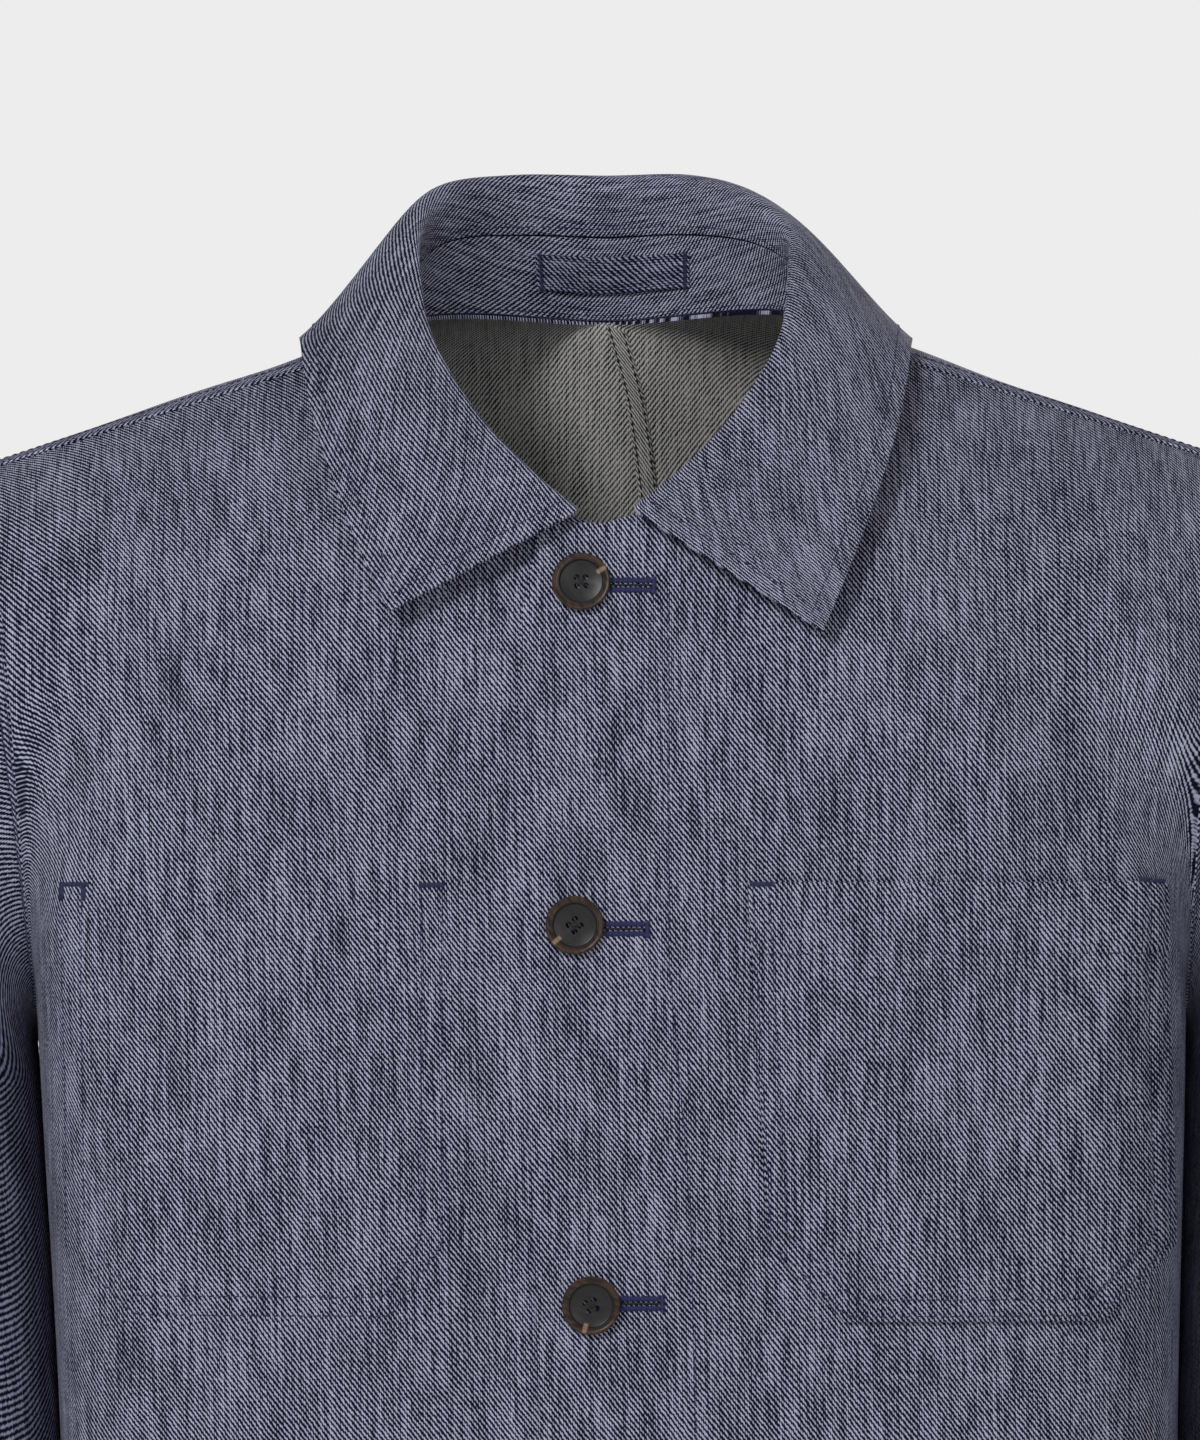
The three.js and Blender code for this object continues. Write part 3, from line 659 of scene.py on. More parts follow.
# %% Thread and horn
def thread_material(name, colour):
    material, tree = new_material(name)
    place = node(tree, "ShaderNodeTexCoord").outputs["Object"]
    noise = node(tree, "ShaderNodeTexNoise", Vector=place, Scale=3000.0, Detail=2.0)
    shade = node(tree, "ShaderNodeMapRange", Value=noise, i3=0.7, i4=1.3)
    shaded = {**COLOURS, "blend_type": "MULTIPLY"}
    tint = node(tree, "ShaderNodeMix", shaded, i0=1.0, i6=linear(colour), i7=shade)
    shader = node(tree, "ShaderNodeBsdfPrincipled", Base_Color=tint.outputs[2], Roughness=0.6)
    node(tree, "ShaderNodeOutputMaterial", Surface=shader)
    return material



THREAD = thread_material("navy_sewing_thread", "#3b3d66")
# Dark thread for the rows inside the back. The same material also draws the painted shade in the
# buttonhole slits.
INSIDE_THREAD_AND_SLIT_SHADE = thread_material("inside_thread_and_painted_slit_shade", "#1c1c24")
BUTTONHOLE_THREAD = thread_material("buttonhole_silk", "#34376c")
BUTTON_THREAD = thread_material("button_thread", "#3a2f2a")


def horn_material():
    """The UVs are millimetres on the button's face, from its middle."""
    material, tree = new_material("polished_horn")
    uv = node(tree, "ShaderNodeUVMap")
    parts = node(tree, "ShaderNodeSeparateXYZ", i0=uv)
    radius = node(tree, "ShaderNodeVectorMath", {"operation": "LENGTH"}, i0=uv).outputs["Value"]
    streaks = node(tree, "ShaderNodeMapping", Vector=uv, Scale=(1.0, 0.25, 1.0))
    noise = node(tree, "ShaderNodeTexNoise", Vector=streaks, Scale=0.6, Detail=4.0)
    beside = node(tree, MATH, SIZE, i0=parts.outputs[1])
    beside = node(tree, MATH, ADD, i0=beside, i1=node(tree, MATH, TIMES, i0=noise, i1=1.2))
    ramps = []
    for value, low, high in (
        (noise, 0.3, 0.8),
        (noise, 0.35, 0.66),
        (radius, 7.6, 8.6),
        (beside, 1.7, 1.0),
        (parts.outputs[0], 6.0, 6.8),
        (radius, 10.1, 9.6),
    ):
        smoothed = {"interpolation_type": "SMOOTHSTEP"}
        ramps.append(node(tree, "ShaderNodeMapRange", smoothed, Value=value, i1=low, i2=high))
    on_face, on_rim, outer, narrow, far, inner = ramps
    fleck = node(tree, MATH, TIMES, i0=far, i1=inner)
    fleck = node(tree, MATH, TIMES, i0=narrow, i1=fleck)
    shades = {}
    for kind, share, a, b in (
        ("face", on_face, linear("#252425"), linear("#343130")),
        ("rim", on_rim, linear("#261c17"), linear("#573f2e")),
        ("ground", outer, "face", "rim"),
        ("whole", fleck, "ground", linear("#a58a72")),
    ):
        a, b = (shades[c] if isinstance(c, str) else c for c in (a, b))
        shades[kind] = node(tree, "ShaderNodeMix", COLOURS, i0=share, i6=a, i7=b).outputs[2]
    shader = node(tree, "ShaderNodeBsdfPrincipled", Base_Color=shades["whole"], Roughness=0.4)
    node(tree, "ShaderNodeOutputMaterial", Surface=shader)
    return material


HORN = horn_material()

# %% [markdown]
# The fronts and backs share one way of cutting: columns from the middle to the side, rows
# from the hem to the shoulder. The cloth's own coordinates are the length of cloth round
# the body, and the length up it.

# %% Panels of the body
LOW_ROWS, HIGH_ROWS, ACROSS, LAP_COLUMNS = 110, 48, 74, 10


def panel_uv(half, side, points, share, level):
    """Length round from the middle, and up from the hem, so that the weave keeps its scale."""
    z = mix(HEM_Z, slant_z(half, np.maximum(share, 0)), np.minimum(level, 1))
    u = share * quarter_length(half, z)
    v = z.copy()
    base = LOW_ROWS
    spare = u[:, base] - side * points[:, base, 0]
    rise = level[:, base:] - 1
    u_high = u[:, base : base + 1] + side * (points[:, base:, 0] - points[:, base : base + 1, 0])
    u_high = u_high - np.maximum(spare, 0)[:, None] * smooth(2 * rise)
    steps = np.linalg.norm(np.diff(points[:, base:], axis=1), axis=-1)
    climb = np.sqrt(np.maximum(steps**2 - np.diff(u_high, axis=1) ** 2, 0))
    u[:, base:] = u_high
    v[:, base + 1 :] = v[:, base : base + 1] + np.cumsum(climb, axis=1)
    hand = side if half == "front" else -side
    return np.stack([hand * u, v], axis=-1)


def body_levels():
    high = 1 + np.linspace(0, 1, HIGH_ROWS + 1)[1:] * TOP_RISE
    return np.concatenate([np.linspace(0, 1, LOW_ROWS + 1), high])


def cloth_panel(name, half, side):
    level = body_levels()
    if half == "front":
        z = mix(HEM_Z, FRONT_NECK_Z, np.minimum(level, 1))
        edge_x = along(LAP_EDGE, "z", z, "x") if side > 0 else -UNDERLAP_X
        edge = (edge_x - side * along(BODY, "z", z, "aside")) / quarter_length("front", z)
        lap = mix(edge[None, :], 0.0, np.linspace(0, 1, LAP_COLUMNS + 1)[:-1, None])
        rest = np.linspace(0, SIDE_SHARE, ACROSS + 1)[:, None]
        share = np.concatenate([lap, np.repeat(rest, len(level), 1)])
        drop = lambda i, j: i < LAP_COLUMNS and j >= LOW_ROWS
    else:
        z = mix(HEM_Z, BACK_NECK_Z, np.minimum(level, 1))
        edge = side * along(BACK_SEAM, "z", z, "x") / quarter_length("back", z)
        share = mix(edge[None, :], SIDE_SHARE, np.linspace(0, 1, ACROSS + 1)[:, None])
        drop = None
    level = np.repeat(level[None, :], share.shape[0], 0)
    points = skin(half, side, share, level)
    uv = panel_uv(half, side, points, share, level)
    bm = lay_grid(points, uv, faces_in(half, side), drop)
    piece = finish_piece(name, bm, TWILL, TWILL_BACK)
    thicken(piece, CLOTH, 1)
    return piece


fronts_and_backs = {
    node_name: cloth_panel(node_name + "_cloth", half, side)
    for node_name, half, side in (
        ("front_left", "front", 1),
        ("front_right", "front", -1),
        ("back_left", "back", 1),
        ("back_right", "back", -1),
    )
}
print("panels:", {name: len(piece.data.polygons) for name, piece in fronts_and_backs.items()})

# %% [markdown]
# A sleeve is one piece of cloth, closed by a seam under the arm. Its first ring is the
# armhole seam, and it hangs straight down from a rounded head.

# %% Sleeves
SLEEVE_ROUND, HEAD_ROWS, ARM_ROWS = 120, 34, 90


def cloth_sleeve(name, side):
    way = np.linspace(0.002, 1, HEAD_ROWS + 1)
    way = np.concatenate([way, 1 + np.linspace(0, 1, ARM_ROWS + 1)[1:]])
    turn = np.linspace(0.5, 1.5, SLEEVE_ROUND + 1)
    points = sleeve_skin(side, turn[:, None], way[None, :])
    points[-1] = points[0]
    ring = travelled(points, 0)
    cloth_uv = np.stack([(ring - ring[-1] / 2) * side, -travelled(points, 1)], axis=-1)
    bm = lay_grid(points, cloth_uv, side < 0)
    bmesh.ops.remove_doubles(bm, verts=bm.verts, dist=0.05 * MM)
    piece = finish_piece(name, bm, TWILL, TWILL_BACK)
    thicken(piece, CLOTH, 1)
    return piece


sleeves = {
    f"sleeve_{hand}": cloth_sleeve(f"sleeve_{hand}_cloth", side)
    for hand, side in (("left", 1), ("right", -1))
}

# %% [markdown]
# The stand and the leaf are two pieces of one surface, parted below the roll. The wrong side
# of both is faced with the same cloth, as a collar is cut double.

# %% Collar
COLLAR_AROUND, STAND_ROWS, LEAF_ROWS = 150, 12, 50
NECK_SEAM, COLLAR_ARC = 500.0, math.radians(90)


def collar_uv(points, at, start):
    """The collar as it is cut: a shallow arc, with the warp along it."""
    out = NECK_SEAM / COLLAR_ARC + start + travelled(points, 1)
    angle = (at * COLLAR_ARC / 2)[:, None]
    return np.stack([-out * np.cos(angle), out * np.sin(angle)], axis=-1)


def cloth_collar(name, first, last, rows, start, rim):
    at = np.linspace(-1, 1, COLLAR_AROUND + 1)
    way = np.linspace(first, last, rows + 1)
    points = collar_point(at[:, None], way[None, :])
    bm = lay_grid(points, collar_uv(points, at, start), False)
    piece = finish_piece(name, bm, TWILL, TWILL, rim)
    thicken(piece, COLLAR_CLOTH, 1, 2)
    return piece


stand = cloth_collar("collar_stand_cloth", 0.01, STAND_SHARE, STAND_ROWS, 0, THREAD)
leaf = cloth_collar("collar_leaf_cloth", STAND_SHARE + 0.01, 2.0, LEAF_ROWS, 30, TWILL)

# %% [markdown]
# The chest pocket is a patch of the same twill with its lower corners cut off, as a joiner
# would chamfer a board. Two rows of stitching press its edge into the front, so the cloth
# swells a little between them. The grid is denser there, where the height changes quickly.

# %% Patch pockets
PATCH_SIDES = ("top", "bottom", "near", "low_near", "far", "low_far", "cut")
CHEST_POCKET = dict(zip(PATCH_SIDES, (-187, -340, 49, 57, 195, 199, 26)))
INNER_POCKET = dict(zip(PATCH_SIDES, (-185, -338, 57, 57, 190, 188, 22)))
EDGE_ROW, INNER_ROW, GROOVE = 2.0, 7.7, 1.0
POCKET_HEM = 25.0
PATCH_CLOTH, INNER_GAP = 1.2, 0.8


def patch_corners(patch, inset=0.0):
    """Top near corner, round the bottom, to the top far corner; inset moves all but the top in."""
    top, bottom = patch["top"], patch["bottom"] + inset
    near, far = (
        lambda z: np.interp(z, (patch["bottom"], top), (patch["low_near"], patch["near"])) + inset,
        lambda z: np.interp(z, (patch["bottom"], top), (patch["low_far"], patch["far"])) - inset,
    )
    cut = patch["cut"] - inset * 0.4
    corner = bottom + cut
    across = (near(top), near(corner), near(bottom) + cut, far(bottom) - cut, far(corner), far(top))
    return np.stack([across, (top, corner, bottom, bottom, corner, top)], axis=-1)


def inside_by(x, z, corners):
    """How far a place lies inside the sides and bottom of a patch."""
    least = np.full(np.shape(x), 1e3)
    for (ax, az), (bx, bz) in zip(corners[:-1], corners[1:]):
        length = math.hypot(bx - ax, bz - az)
        least = np.minimum(least, ((bz - az) * (ax - x) - (bx - ax) * (az - z)) / length)
    return least


def patch_height(x, z, patch):
    inside = inside_by(x, z, patch_corners(patch))
    height = 1.5 + 1.0 * smooth(inside / 1.4)
    for row in (EDGE_ROW, INNER_ROW):
        height = height - 0.65 * np.exp(-(((inside - row) / GROOVE) ** 2))
    down = patch["top"] - z
    height = height + 0.55 * smooth((POCKET_HEM - down) / 1.5)
    height = height - 0.4 * np.exp(-(((down - POCKET_HEM) / GROOVE) ** 2))
    ripple = 0.16 * np.sin(x * 0.55) * np.sin(z * 0.5 + 1.0) + 0.25 * np.sin(x * 0.09 + z * 0.05)
    return height + ripple * smooth(inside / 6) * smooth(down / 8)


def cloth_patch(name, side, patch, height_at):
    cut = patch["cut"]
    ends = np.linspace(0, 1, cut + 1)
    steps = ((0, 0.05, 7), (0.05, 0.88, 62), (0.88, 1, 20))
    fall = np.concatenate([[0]] + [np.linspace(*step)[1:] for step in steps])
    near = mix(patch["near"], patch["low_near"], fall)
    far = mix(patch["far"], patch["low_far"], fall)
    left = near + ends[:, None] * cut
    right = far - ends[::-1, None] * cut
    middle = mix(near + cut, far - cut, np.linspace(0, 1, 60)[1:-1, None])
    x = np.concatenate([left, middle, right])
    corner = np.concatenate([1 - ends, np.zeros(58), ends])[:, None]
    z = mix(patch["top"], patch["bottom"] + cut * corner, fall[None, :])
    points = over_front(side, side * x, z, height_at(x, z))
    bm = lay_grid(points, np.stack([side * x, z], axis=-1), side > 0)
    piece = finish_piece(name, bm, TWILL, TWILL_BACK)
    thicken(piece, PATCH_CLOTH, 1)
    return piece


chest_pocket = cloth_patch(
    "chest_pocket_cloth", 1, CHEST_POCKET, lambda x, z: patch_height(x, z, CHEST_POCKET)
)
inner_pocket = cloth_patch(
    "inner_pocket_cloth", -1, INNER_POCKET, lambda x, z: -CLOTH - INNER_GAP + 0 * x
)
print("pockets:", len(chest_pocket.data.polygons), "faces on the chest")

# %% [markdown]
# Seams are felled: one edge is folded round the other and sewn down flat, so a strip about
# 8 mm wide lies along the seam with two rows of stitching. Each strip here follows the
# panel's own surface, lifted by a layer of cloth.

# %% Felled seams and the hanger loop
STRIP_RISE = 0.9
STRIP_WIDE = 8.0
STRIP_WEAVE = 37.0
STRIP_ACROSS = np.array([0, 0.04, 0.12, 0.3, 0.5, 0.7, 0.88, 0.96, 1.0]) * STRIP_WIDE
STRIP_SECTION = np.array([0.3, 0.8, 0.95, 0.75, 1.0, 0.75, 0.95, 0.8, 0.1]) * STRIP_RISE
RUN, LONG = np.linspace(0, 1, 90), np.linspace(0, 1, 200)
HAND = {-1: "right", 1: "left"}


def beside(at, seam, step, inset):
    """The coordinates of a row that runs a measured way in from a seam."""
    (u, v), (du, dv) = seam, step
    speed = np.linalg.norm(at(u + du * STEP, v + dv * STEP) - at(u, v), axis=-1) / STEP
    return u + du * inset / speed, v + dv * inset / speed


def felled_strip(name, half, side, seam, step, inside=False):
    """A strip beside a seam of a front or back, on its outer or inner face."""
    at = lambda u, v: skin(half, side, u, v)
    flip, sign = faces_in(half, side), -1 if inside else 1
    u, v = (c[:, None] for c in seam)
    lift = (-CLOTH if inside else 0) + sign * STRIP_SECTION + 0 * u
    points = over(at, *beside(at, (u, v), step, STRIP_ACROSS), flip, lift)
    run = travelled(points[:, 4], 0)[:, None] + 0 * STRIP_ACROSS
    cloth_uv = np.stack([STRIP_ACROSS + STRIP_WEAVE + 0 * run, run], axis=-1)
    bm = lay_grid(points, cloth_uv, False)
    bmesh.ops.recalc_face_normals(bm, faces=bm.faces)
    bm.normal_update()
    bm.faces.ensure_lookup_table()
    middle = Vector(outward(at, u, v, flip)[len(u) // 2, 0])
    if bm.faces[len(bm.faces) // 2].normal.dot(middle) * sign < 0:
        bmesh.ops.reverse_faces(bm, faces=bm.faces)
    return finish_piece(name, bm, TWILL_BACK if inside else TWILL)


def side_seams(armhole_rise, shoulder_from, shoulder_run):
    """The seams of one side: name, half, coordinates along it, and the step away from it."""
    armhole = (0 * RUN + SIDE_SHARE, 1 + RUN * armhole_rise)
    shoulder = (shoulder_from + shoulder_run * RUN, 0 * RUN + 1 + TOP_RISE)
    return (
        ("side_seam", "back", (0 * LONG + SIDE_SHARE, LONG), (-1, 0)),
        ("armhole_seam_back", "back", armhole, (-1, 0)),
        ("shoulder_seam", "back", shoulder, (0, -1)),
        ("armhole_seam_front", "front", armhole, (-1, 0)),
    )


strips = {name: [] for name in fronts_and_backs}
for side, hand in HAND.items():
    for name, half, seam, step in side_seams(TOP_RISE, 0.08, 0.9):
        strips[f"{half}_{hand}"].append(felled_strip(f"{name}_{hand}", half, side, seam, step))
up_back = LONG * 0.9999
back_z = mix(HEM_Z, BACK_NECK_Z, up_back)
middle_seam = (along(BACK_SEAM, "z", back_z, "x") / quarter_length("back", back_z), up_back)
for name, inside in (("centre_back_seam", False), ("centre_back_seam_inside", True)):
    strips["back_left"].append(felled_strip(name, "back", 1, middle_seam, (1, 0), inside))

LOOP = {"from": -0.137, "to": 0.169, "low": 0.17, "high": 0.36}
LOOP_TACKS = (-0.131, 0.163)
LOOP_WIDE, LOOP_CLOTH = 12, 0.6


def loop_slack(at):
    """How far the loop stands off the collar, more between its tacks than at them."""
    start, end = LOOP_TACKS
    return 0.9 + 1.5 * smooth((at - start) / 0.03) * smooth((end - at) / 0.03)


def cloth_loop():
    at = np.linspace(LOOP["from"], LOOP["to"], 90)[:, None]
    share = np.array([0, 0.03, 0.08, 0.16, 0.3, 0.5, 0.7, 0.84, 0.92, 0.97, 1])
    edge = np.array([0.4, 0.9, 0.85, 0.75, 1.0, 1.05, 1.0, 0.75, 0.85, 0.9, 0.4])
    way = mix(LOOP["low"], LOOP["high"], share)
    points = over(collar_point, at, way[None, :], False, loop_slack(at) * edge)
    run = travelled(points[:, 5], 0)[:, None] + 0 * way
    cloth_uv = np.stack([share * LOOP_WIDE + 0 * run, run], axis=-1)
    bm = lay_grid(points, cloth_uv, False)
    piece = finish_piece("hanger_loop_cloth", bm, TWILL_STRIP)
    thicken(piece, LOOP_CLOTH, 0)
    return piece


loop = cloth_loop()
print("strips:", sum(len(v) for v in strips.values()))

# %% [markdown]
# Stitches could be drawn in the material, but real topstitching stands up from the cloth and
# catches the light. Each stitch is one small icosphere, drawn out along the line of sewing.

# %% Topstitching
THREAD_THICK = 0.5
STITCH_PITCH, STITCH_LONG, TACK_PITCH = 3.0, 2.35, 0.42
SEWN_LIFT = 0.12


def dense(*corners, per=120):
    """Coordinates along a line of corners, with the same number of steps on each stretch."""
    corners = np.array(corners, float)
    way = np.linspace(0, len(corners) - 1, per * (len(corners) - 1) + 1)
    return [np.interp(way, np.arange(len(corners)), corners[:, k]) for k in (0, 1)]


def stitch_ends(points, pitch=STITCH_PITCH, long=STITCH_LONG):
    """Both ends of each stitch along a line of points."""
    reach = travelled(points, 0)
    count = max(1, round(reach[-1] / pitch))
    middle = (np.arange(count) + 0.5) * reach[-1] / count
    spot = lambda way: np.stack([np.interp(way, reach, points[:, k]) for k in range(3)], axis=-1)
    return spot(middle - long / 2), spot(middle + long / 2)


def sew(name, rows, material=THREAD, thick=THREAD_THICK):
    """One mesh of threads; each row is the two ends of every thread in it."""
    bm = bmesh.new()
    for starts, ends in rows:
        for start, end in zip(starts * MM, ends * MM):
            run = Vector(end - start)
            turn = run.to_track_quat("X", "Z").to_matrix().to_4x4()
            size = Matrix.Diagonal((run.length / 2, thick * MM / 2, thick * MM / 2, 1))
            place = Matrix.Translation(Vector(start + end) / 2) @ turn @ size
            bmesh.ops.create_icosphere(bm, subdivisions=1, radius=1, matrix=place)
    return finish_piece(name, bm, material)


def on_front(side, *corners, per=120):
    return stitch_ends(over_front(side, *dense(*corners, per=per), SEWN_LIFT))


def on_patch(patch, inset):
    x, z = dense(*patch_corners(patch, inset), per=60)
    return stitch_ends(over_front(1, x, z, patch_height(x, z, patch) + SEWN_LIFT))


def tack(place, low, high):
    """A bar tack: threads side by side, from low to high corners."""
    x = np.arange(low[0], high[0], TACK_PITCH)
    return place(x, 0 * x + low[1]), place(x, 0 * x + high[1])


hem_down = CHEST_POCKET["top"] - POCKET_HEM
hem_x, hem_z = dense((51, hem_down), (194.6, hem_down))
over_pocket = lambda x, z: over_front(1, x, z, patch_height(x, z, CHEST_POCKET) + 0.25)
sew(
    "chest_pocket_stitches",
    [
        on_patch(CHEST_POCKET, EDGE_ROW),
        on_patch(CHEST_POCKET, INNER_ROW),
        stitch_ends(over_pocket(hem_x, hem_z)),
        tack(over_pocket, (50, -188.8), (58.5, -186.6)),
        tack(over_pocket, (184, -187.4), (193, -185.2)),
    ],
)

# The two rows that show of the pocket inside, as columns of x and z
INNER_ROWS = (
    ((-57.1, -57.1, -75.2, -164.3, -189.3, -189.3), (-187.9, -313.2, -337.9, -337.9, -315, -187.9)),
    ((-64.4, -64.4, -77.3, -162.2, -182.4, -182.4), (-187.9, -310.8, -331.3, -331.3, -312.5, -187.9)),
)
over_right = lambda x, z: over_front(-1, x, z, 0.2)
sew(
    "front_right_stitches",
    [on_front(-1, *zip(*row), per=50) for row in INNER_ROWS]
    + [
        tack(over_right, (-189.8, -189), (-180.5, -186.8)),
        tack(over_right, (-65, -189), (-56.5, -186.8)),
        tack(over_right, (-190, -194.5), (-188.6, -187)),
        tack(over_right, (-182.6, -194.5), (-181.2, -187)),
        on_front(-1, (-14, -682), (-190, -682)),
    ],
)
FACING_LINE = ((21.9, -86), (21.9, -214), (29.2, -297.5), (31.3, -381), (31, -682))
sew("front_left_stitches", [on_front(1, *FACING_LINE), on_front(1, (-18, -682), (190, -682))])

SEAM_ROWS, ROW_LIFT = (1.1, 6.7), STRIP_RISE + 0.05
seams = [(side, *seam[1:]) for side in HAND for seam in side_seams(0.99, 0.1, 0.87)]
seam_rows, inside_rows = [], []
for side, half, seam, step in seams + [(1, "back", middle_seam, (1, 0))]:
    at = lambda u, v: skin(half, side, u, v)
    for inset in SEAM_ROWS:
        row = beside(at, seam, step, inset)
        seam_rows.append(stitch_ends(over(at, *row, faces_in(half, side), ROW_LIFT)))
        if seam is middle_seam:
            inside_rows.append(stitch_ends(over(at, *row, True, -CLOTH - ROW_LIFT)))
sew("seam_stitches", seam_rows)
sew("inside_seam_stitches", inside_rows, INSIDE_THREAD_AND_SLIT_SHADE, 0.8)

around = np.linspace(-0.985, 0.985, 400)
end_way = np.linspace(0.7, 1.96, 60)
leaf_step = np.linalg.norm(collar_point(around, 2.0) - collar_point(around, 2 - STEP), axis=-1)
over_collar = lambda at, way, lift=SEWN_LIFT: over(collar_point, at + 0 * way, way + 0 * at, False, lift)
sew(
    "collar_stitches",
    [
        stitch_ends(over_collar(around, 2 - 6.0 / (leaf_step / STEP))),
        stitch_ends(over_collar(around * 0.98, STAND_SHARE + 0.05)),
        stitch_ends(over_collar(around * 0.98, 0.045)),
        stitch_ends(over_collar(around, 0.012, 0.05), 1.5, 1.7),
        stitch_ends(over_collar(-0.972, end_way)),
        stitch_ends(over_collar(0.972, end_way)),
    ],
)
loop_at = np.linspace(LOOP_TACKS[0] + 0.012, LOOP_TACKS[1] - 0.012, 120)
tack_way = np.linspace(LOOP["low"] - 0.005, LOOP["high"] + 0.005, 28)
loop_rows = []
for part in (0.13, 0.87):
    way = mix(LOOP["low"], LOOP["high"], part)
    loop_rows.append(stitch_ends(over_collar(loop_at, way, loop_slack(loop_at) * 0.8 + SEWN_LIFT)))
for spot in LOOP_TACKS:
    loop_rows.append([over_collar(spot + off, tack_way, 1.35) for off in (-0.0045, 0.0045)])
sew("hanger_loop_stitches", loop_rows)
turn = np.linspace(0, 1, 300)
for side in HAND:
    cuff = sleeve_skin(side, turn % 1, 1.942)
    out = unit(cuff - cuff.mean(axis=0))
    sew(f"cuff_stitches_{HAND[side]}", [stitch_ends(cuff + out * SEWN_LIFT)])

# %% [markdown]
# A buttonhole is a slit whose edges are covered with close threads, and a bar at the end
# where the button pulls. The threads are as long as a real one is wide, and half a millimetre
# apart, as a buttonhole machine sets them. The open slit itself is painted shade: a dark line
# of dashes laid along its middle.

# %% Buttonholes
HOLE_ENDS = ((17.0, -83.9), (14.6, -203.2), (19.8, -333.4), (19.0, -465.0), (19.2, -596.2))
HOLE_LONG, HOLE_PITCH = 23.0, 0.55
hole_rows, slit_shade_rows = [], []
for end_x, z in HOLE_ENDS:
    x = np.arange(end_x - HOLE_LONG, end_x - 1.2, HOLE_PITCH)
    wave = 0.18 * np.sin(x * 7)
    for low, high in ((0.5, 2.9), (-0.5, -2.9)):
        ends = over_front(1, x, z + low, 0.35), over_front(1, x + 0.15, z + high + wave, 0.15)
        hole_rows.append(ends)
    bar = z + np.arange(-2.9, 2.95, 0.5)
    hole_rows.append([over_front(1, end_x + off, bar, 0.35) for off in (-1.2, 0.8)])
    # The slit's dark line is painted shade, where the cut opens between the two rows.
    slit = np.arange(end_x - HOLE_LONG, end_x - 3.0, 1.5)
    slit_shade_rows.append([over_front(1, slit + off, z, 0.2) for off in (0, 3.0)])
sew("buttonhole_threads", hole_rows, BUTTONHOLE_THREAD, 0.7)
sew("buttonhole_slit_shade", slit_shade_rows, INSIDE_THREAD_AND_SLIT_SHADE, 0.95)

# %% [markdown]
# The buttons are turned discs of horn with four holes. One is spun from its section and
# drilled, then copied to each place, turned on its own so that the pale fleck in the rim
# lies as it does in the photograph.

# %% Buttons
BUTTONS = (
    ("button_1", -8.7, -83, 30, 2),
    ("button_2", -11, -202, 220, 42),
    ("button_3", -5.2, -334, 255, 20),
    ("button_4", -5, -465, 100, 30),
    ("button_5", -5, -596, 340, 12),
)
BUTTON_SECTION = (
    (0, 0), (7.6, 0), (9.0, 0.4), (9.9, 1.1), (10.2, 1.9), (10.1, 2.5), (9.7, 2.9), (9.2, 2.9),
    (8.8, 2.65), (8.4, 2.7), (8.1, 3.0), (7.8, 3.0), (7.55, 2.6), (7.4, 2.1), (7.1, 1.95), (0, 1.9),
)
HOLE_RADIUS, HOLE_AWAY = 1.05, 2.15


def drilled_button():
    bm = bmesh.new()
    ring = [bm.verts.new((r * MM, 0, rise * MM)) for r, rise in BUTTON_SECTION]
    edges = [bm.edges.new(pair) for pair in zip(ring[:-1], ring[1:])]
    turn = {"cent": (0, 0, 0), "axis": (0, 0, 1), "angle": 2 * math.pi}
    bmesh.ops.spin(bm, geom=ring + edges, steps=64, use_merge=True, **turn)
    bmesh.ops.remove_doubles(bm, verts=bm.verts, dist=0.01 * MM)
    bmesh.ops.recalc_face_normals(bm, faces=bm.faces)
    blank = add_object("blank", mesh_of("button_blank", bm))
    drills = bmesh.new()
    hole = {"radius1": HOLE_RADIUS * MM, "radius2": HOLE_RADIUS * MM, "depth": 12 * MM}
    for i in range(4):
        away = Matrix.Rotation(math.pi / 4 + i * math.pi / 2, 4, "Z") @ Vector((HOLE_AWAY * MM, 0, 0))
        place = Matrix.Translation(away)
        bmesh.ops.create_cone(drills, cap_ends=True, segments=20, matrix=place, **hole)
    drill = add_object("drill", mesh_of("drills", drills))
    cut = blank.modifiers.new("holes", "BOOLEAN")
    cut.operation, cut.object, cut.solver = "DIFFERENCE", drill, "EXACT"
    graph = bpy.context.evaluated_depsgraph_get()
    mesh = bpy.data.meshes.new_from_object(blank.evaluated_get(graph))
    for thing in (blank, drill):
        bpy.data.objects.remove(thing)
    return mesh


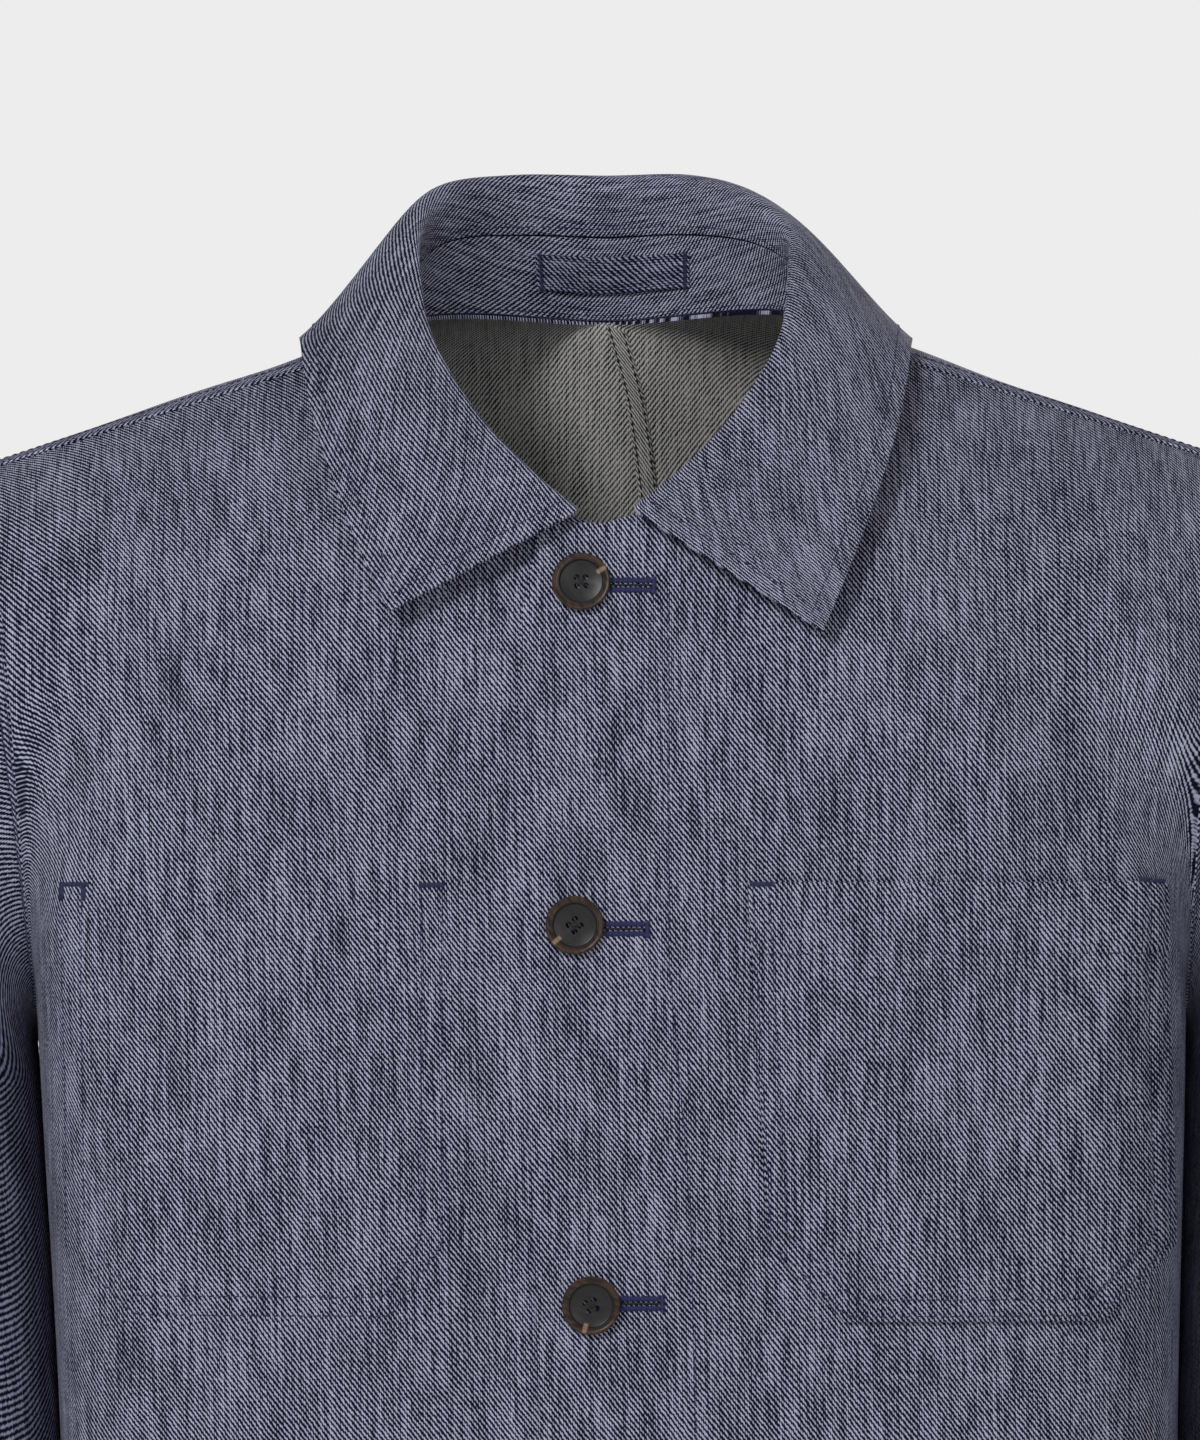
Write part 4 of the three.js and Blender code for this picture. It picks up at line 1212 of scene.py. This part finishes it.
def cloth_button(name, mesh, x, z, fleck, holes):
    mesh = mesh.copy()
    mesh.name = name + "_horn"
    layer = mesh.uv_layers.new(name="horn")
    fleck_turn, hole_turn = math.radians(fleck - holes), math.radians(holes)
    for loop in mesh.loops:
        place = mesh.vertices[loop.vertex_index].co / MM
        c, s = math.cos(fleck_turn), math.sin(fleck_turn)
        layer.data[loop.index].uv = (place.x * c + place.y * s, place.y * c - place.x * s)
    seat = over_front(1, x, z, SEAM)
    ahead = Vector(over_front(1, x, z, 1 + SEAM) - seat).normalized()
    facing = ahead.to_track_quat("Z", "Y").to_matrix().to_4x4()
    place = Matrix.Translation(Vector(seat) * MM) @ facing @ Matrix.Rotation(hole_turn, 4, "Z")
    mesh.transform(place)
    for polygon in mesh.polygons:
        polygon.use_smooth = True
    mesh.set_sharp_from_angle(angle=math.radians(35))
    mesh.materials.clear()
    mesh.materials.append(HORN)
    piece = add_object(mesh.name, mesh)
    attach(piece, "root")
    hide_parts(name)
    threads = []
    for k in range(2):
        angle = math.pi / 4 + k * math.pi / 2
        ray = Vector((math.cos(angle), math.sin(angle), 0))
        for aside in (-0.25, 0.25):
            off = Vector((-ray.y, ray.x, 0)) * aside + Vector((0, 0, 1.95 + 0.45 * k))
            ends = [place @ ((ray * HOLE_AWAY * 1.1 * way + off) * MM) / MM for way in (-1, 1)]
            threads.append([np.array([end]) for end in ends])
    return threads


blank_button = drilled_button()
button_threads = []
for name, x, z, fleck, holes in BUTTONS:
    button_threads += cloth_button(name, blank_button, x, z, fleck, holes)
sew("button_threads", button_threads, BUTTON_THREAD, 0.55)
print("buttons:", len(BUTTONS), "faces each", len(blank_button.polygons))

# %% [markdown]
# Each piece takes its node's place in the frame: the imported node of the same name is hidden.

# %% Pieces and their nodes
patches = {"chest_pocket": chest_pocket, "inner_pocket": inner_pocket}
cloths = {**fronts_and_backs, **sleeves, "collar_stand": stand, "collar_leaf": leaf, **patches}
for node_name, piece in cloths.items():
    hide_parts(node_name)
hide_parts("hanger_loop")


# %% [markdown]
# The view is the photograph's: straight from the front, close to the chest.

# %% Camera and light
PIXEL = 0.348 * MM
FRAME_HEIGHT = 1440
CHEST_Y = -0.11
DISTANCE = 5.0
SENSOR = 36.0
AMBIENT = 0.24
FLOOR_Z = -0.78
camera_data = bpy.data.cameras.new("camera")
camera_data.sensor_width = SENSOR
camera_data.lens = SENSOR * DISTANCE / (FRAME_HEIGHT * PIXEL)
camera = add_object("camera", camera_data)
camera.location = (-0.0021, CHEST_Y - DISTANCE, -0.1305)
camera.rotation_euler = (math.radians(90), 0, 0)
bpy.context.scene.camera = camera

world = bpy.data.worlds.new("studio")
bpy.context.scene.world = world
world.use_nodes = True
world.node_tree.nodes["Background"].inputs[0].default_value = linear("#ededed")
seen = node(world.node_tree, "ShaderNodeLightPath")
sky = node(world.node_tree, "ShaderNodeMapRange", Value=seen, i3=AMBIENT, i4=1.0)
world.node_tree.links.new(sky.outputs[0], world.node_tree.nodes["Background"].inputs[1])
bpy.context.scene.view_settings.view_transform = "Standard"


def soft_light(name, place, aim, size, power):
    data = bpy.data.lights.new(name, "AREA")
    data.shape = "DISK"
    data.size = size
    data.energy = power
    lamp = add_object(name, data)
    lamp.location = place
    lamp.rotation_euler = (Vector(aim) - Vector(place)).to_track_quat("-Z", "Y").to_euler()


soft_light("key", (-1.5, -2.8, 1.7), (0, 0, -0.2), 0.7, 46)
soft_light("fill", (1.4, -3.2, 0.4), (0, 0, -0.2), 1.2, 8)
soft_light("behind", (0.4, 3.2, 1.0), (0, 0, -0.3), 1.6, 40)

bm = bmesh.new()
bmesh.ops.create_grid(bm, x_segments=1, y_segments=1, size=6)
bmesh.ops.translate(bm, verts=bm.verts, vec=(0, 0, FLOOR_Z))
floor_material, tree = new_material("pale_floor")
shader = node(tree, "ShaderNodeBsdfPrincipled", Base_Color=linear("#e6e6e6"), Roughness=0.8)
node(tree, "ShaderNodeOutputMaterial", Surface=shader)
ground = add_object("floor", mesh_of("floor", bm))
ground.data.materials.append(floor_material)
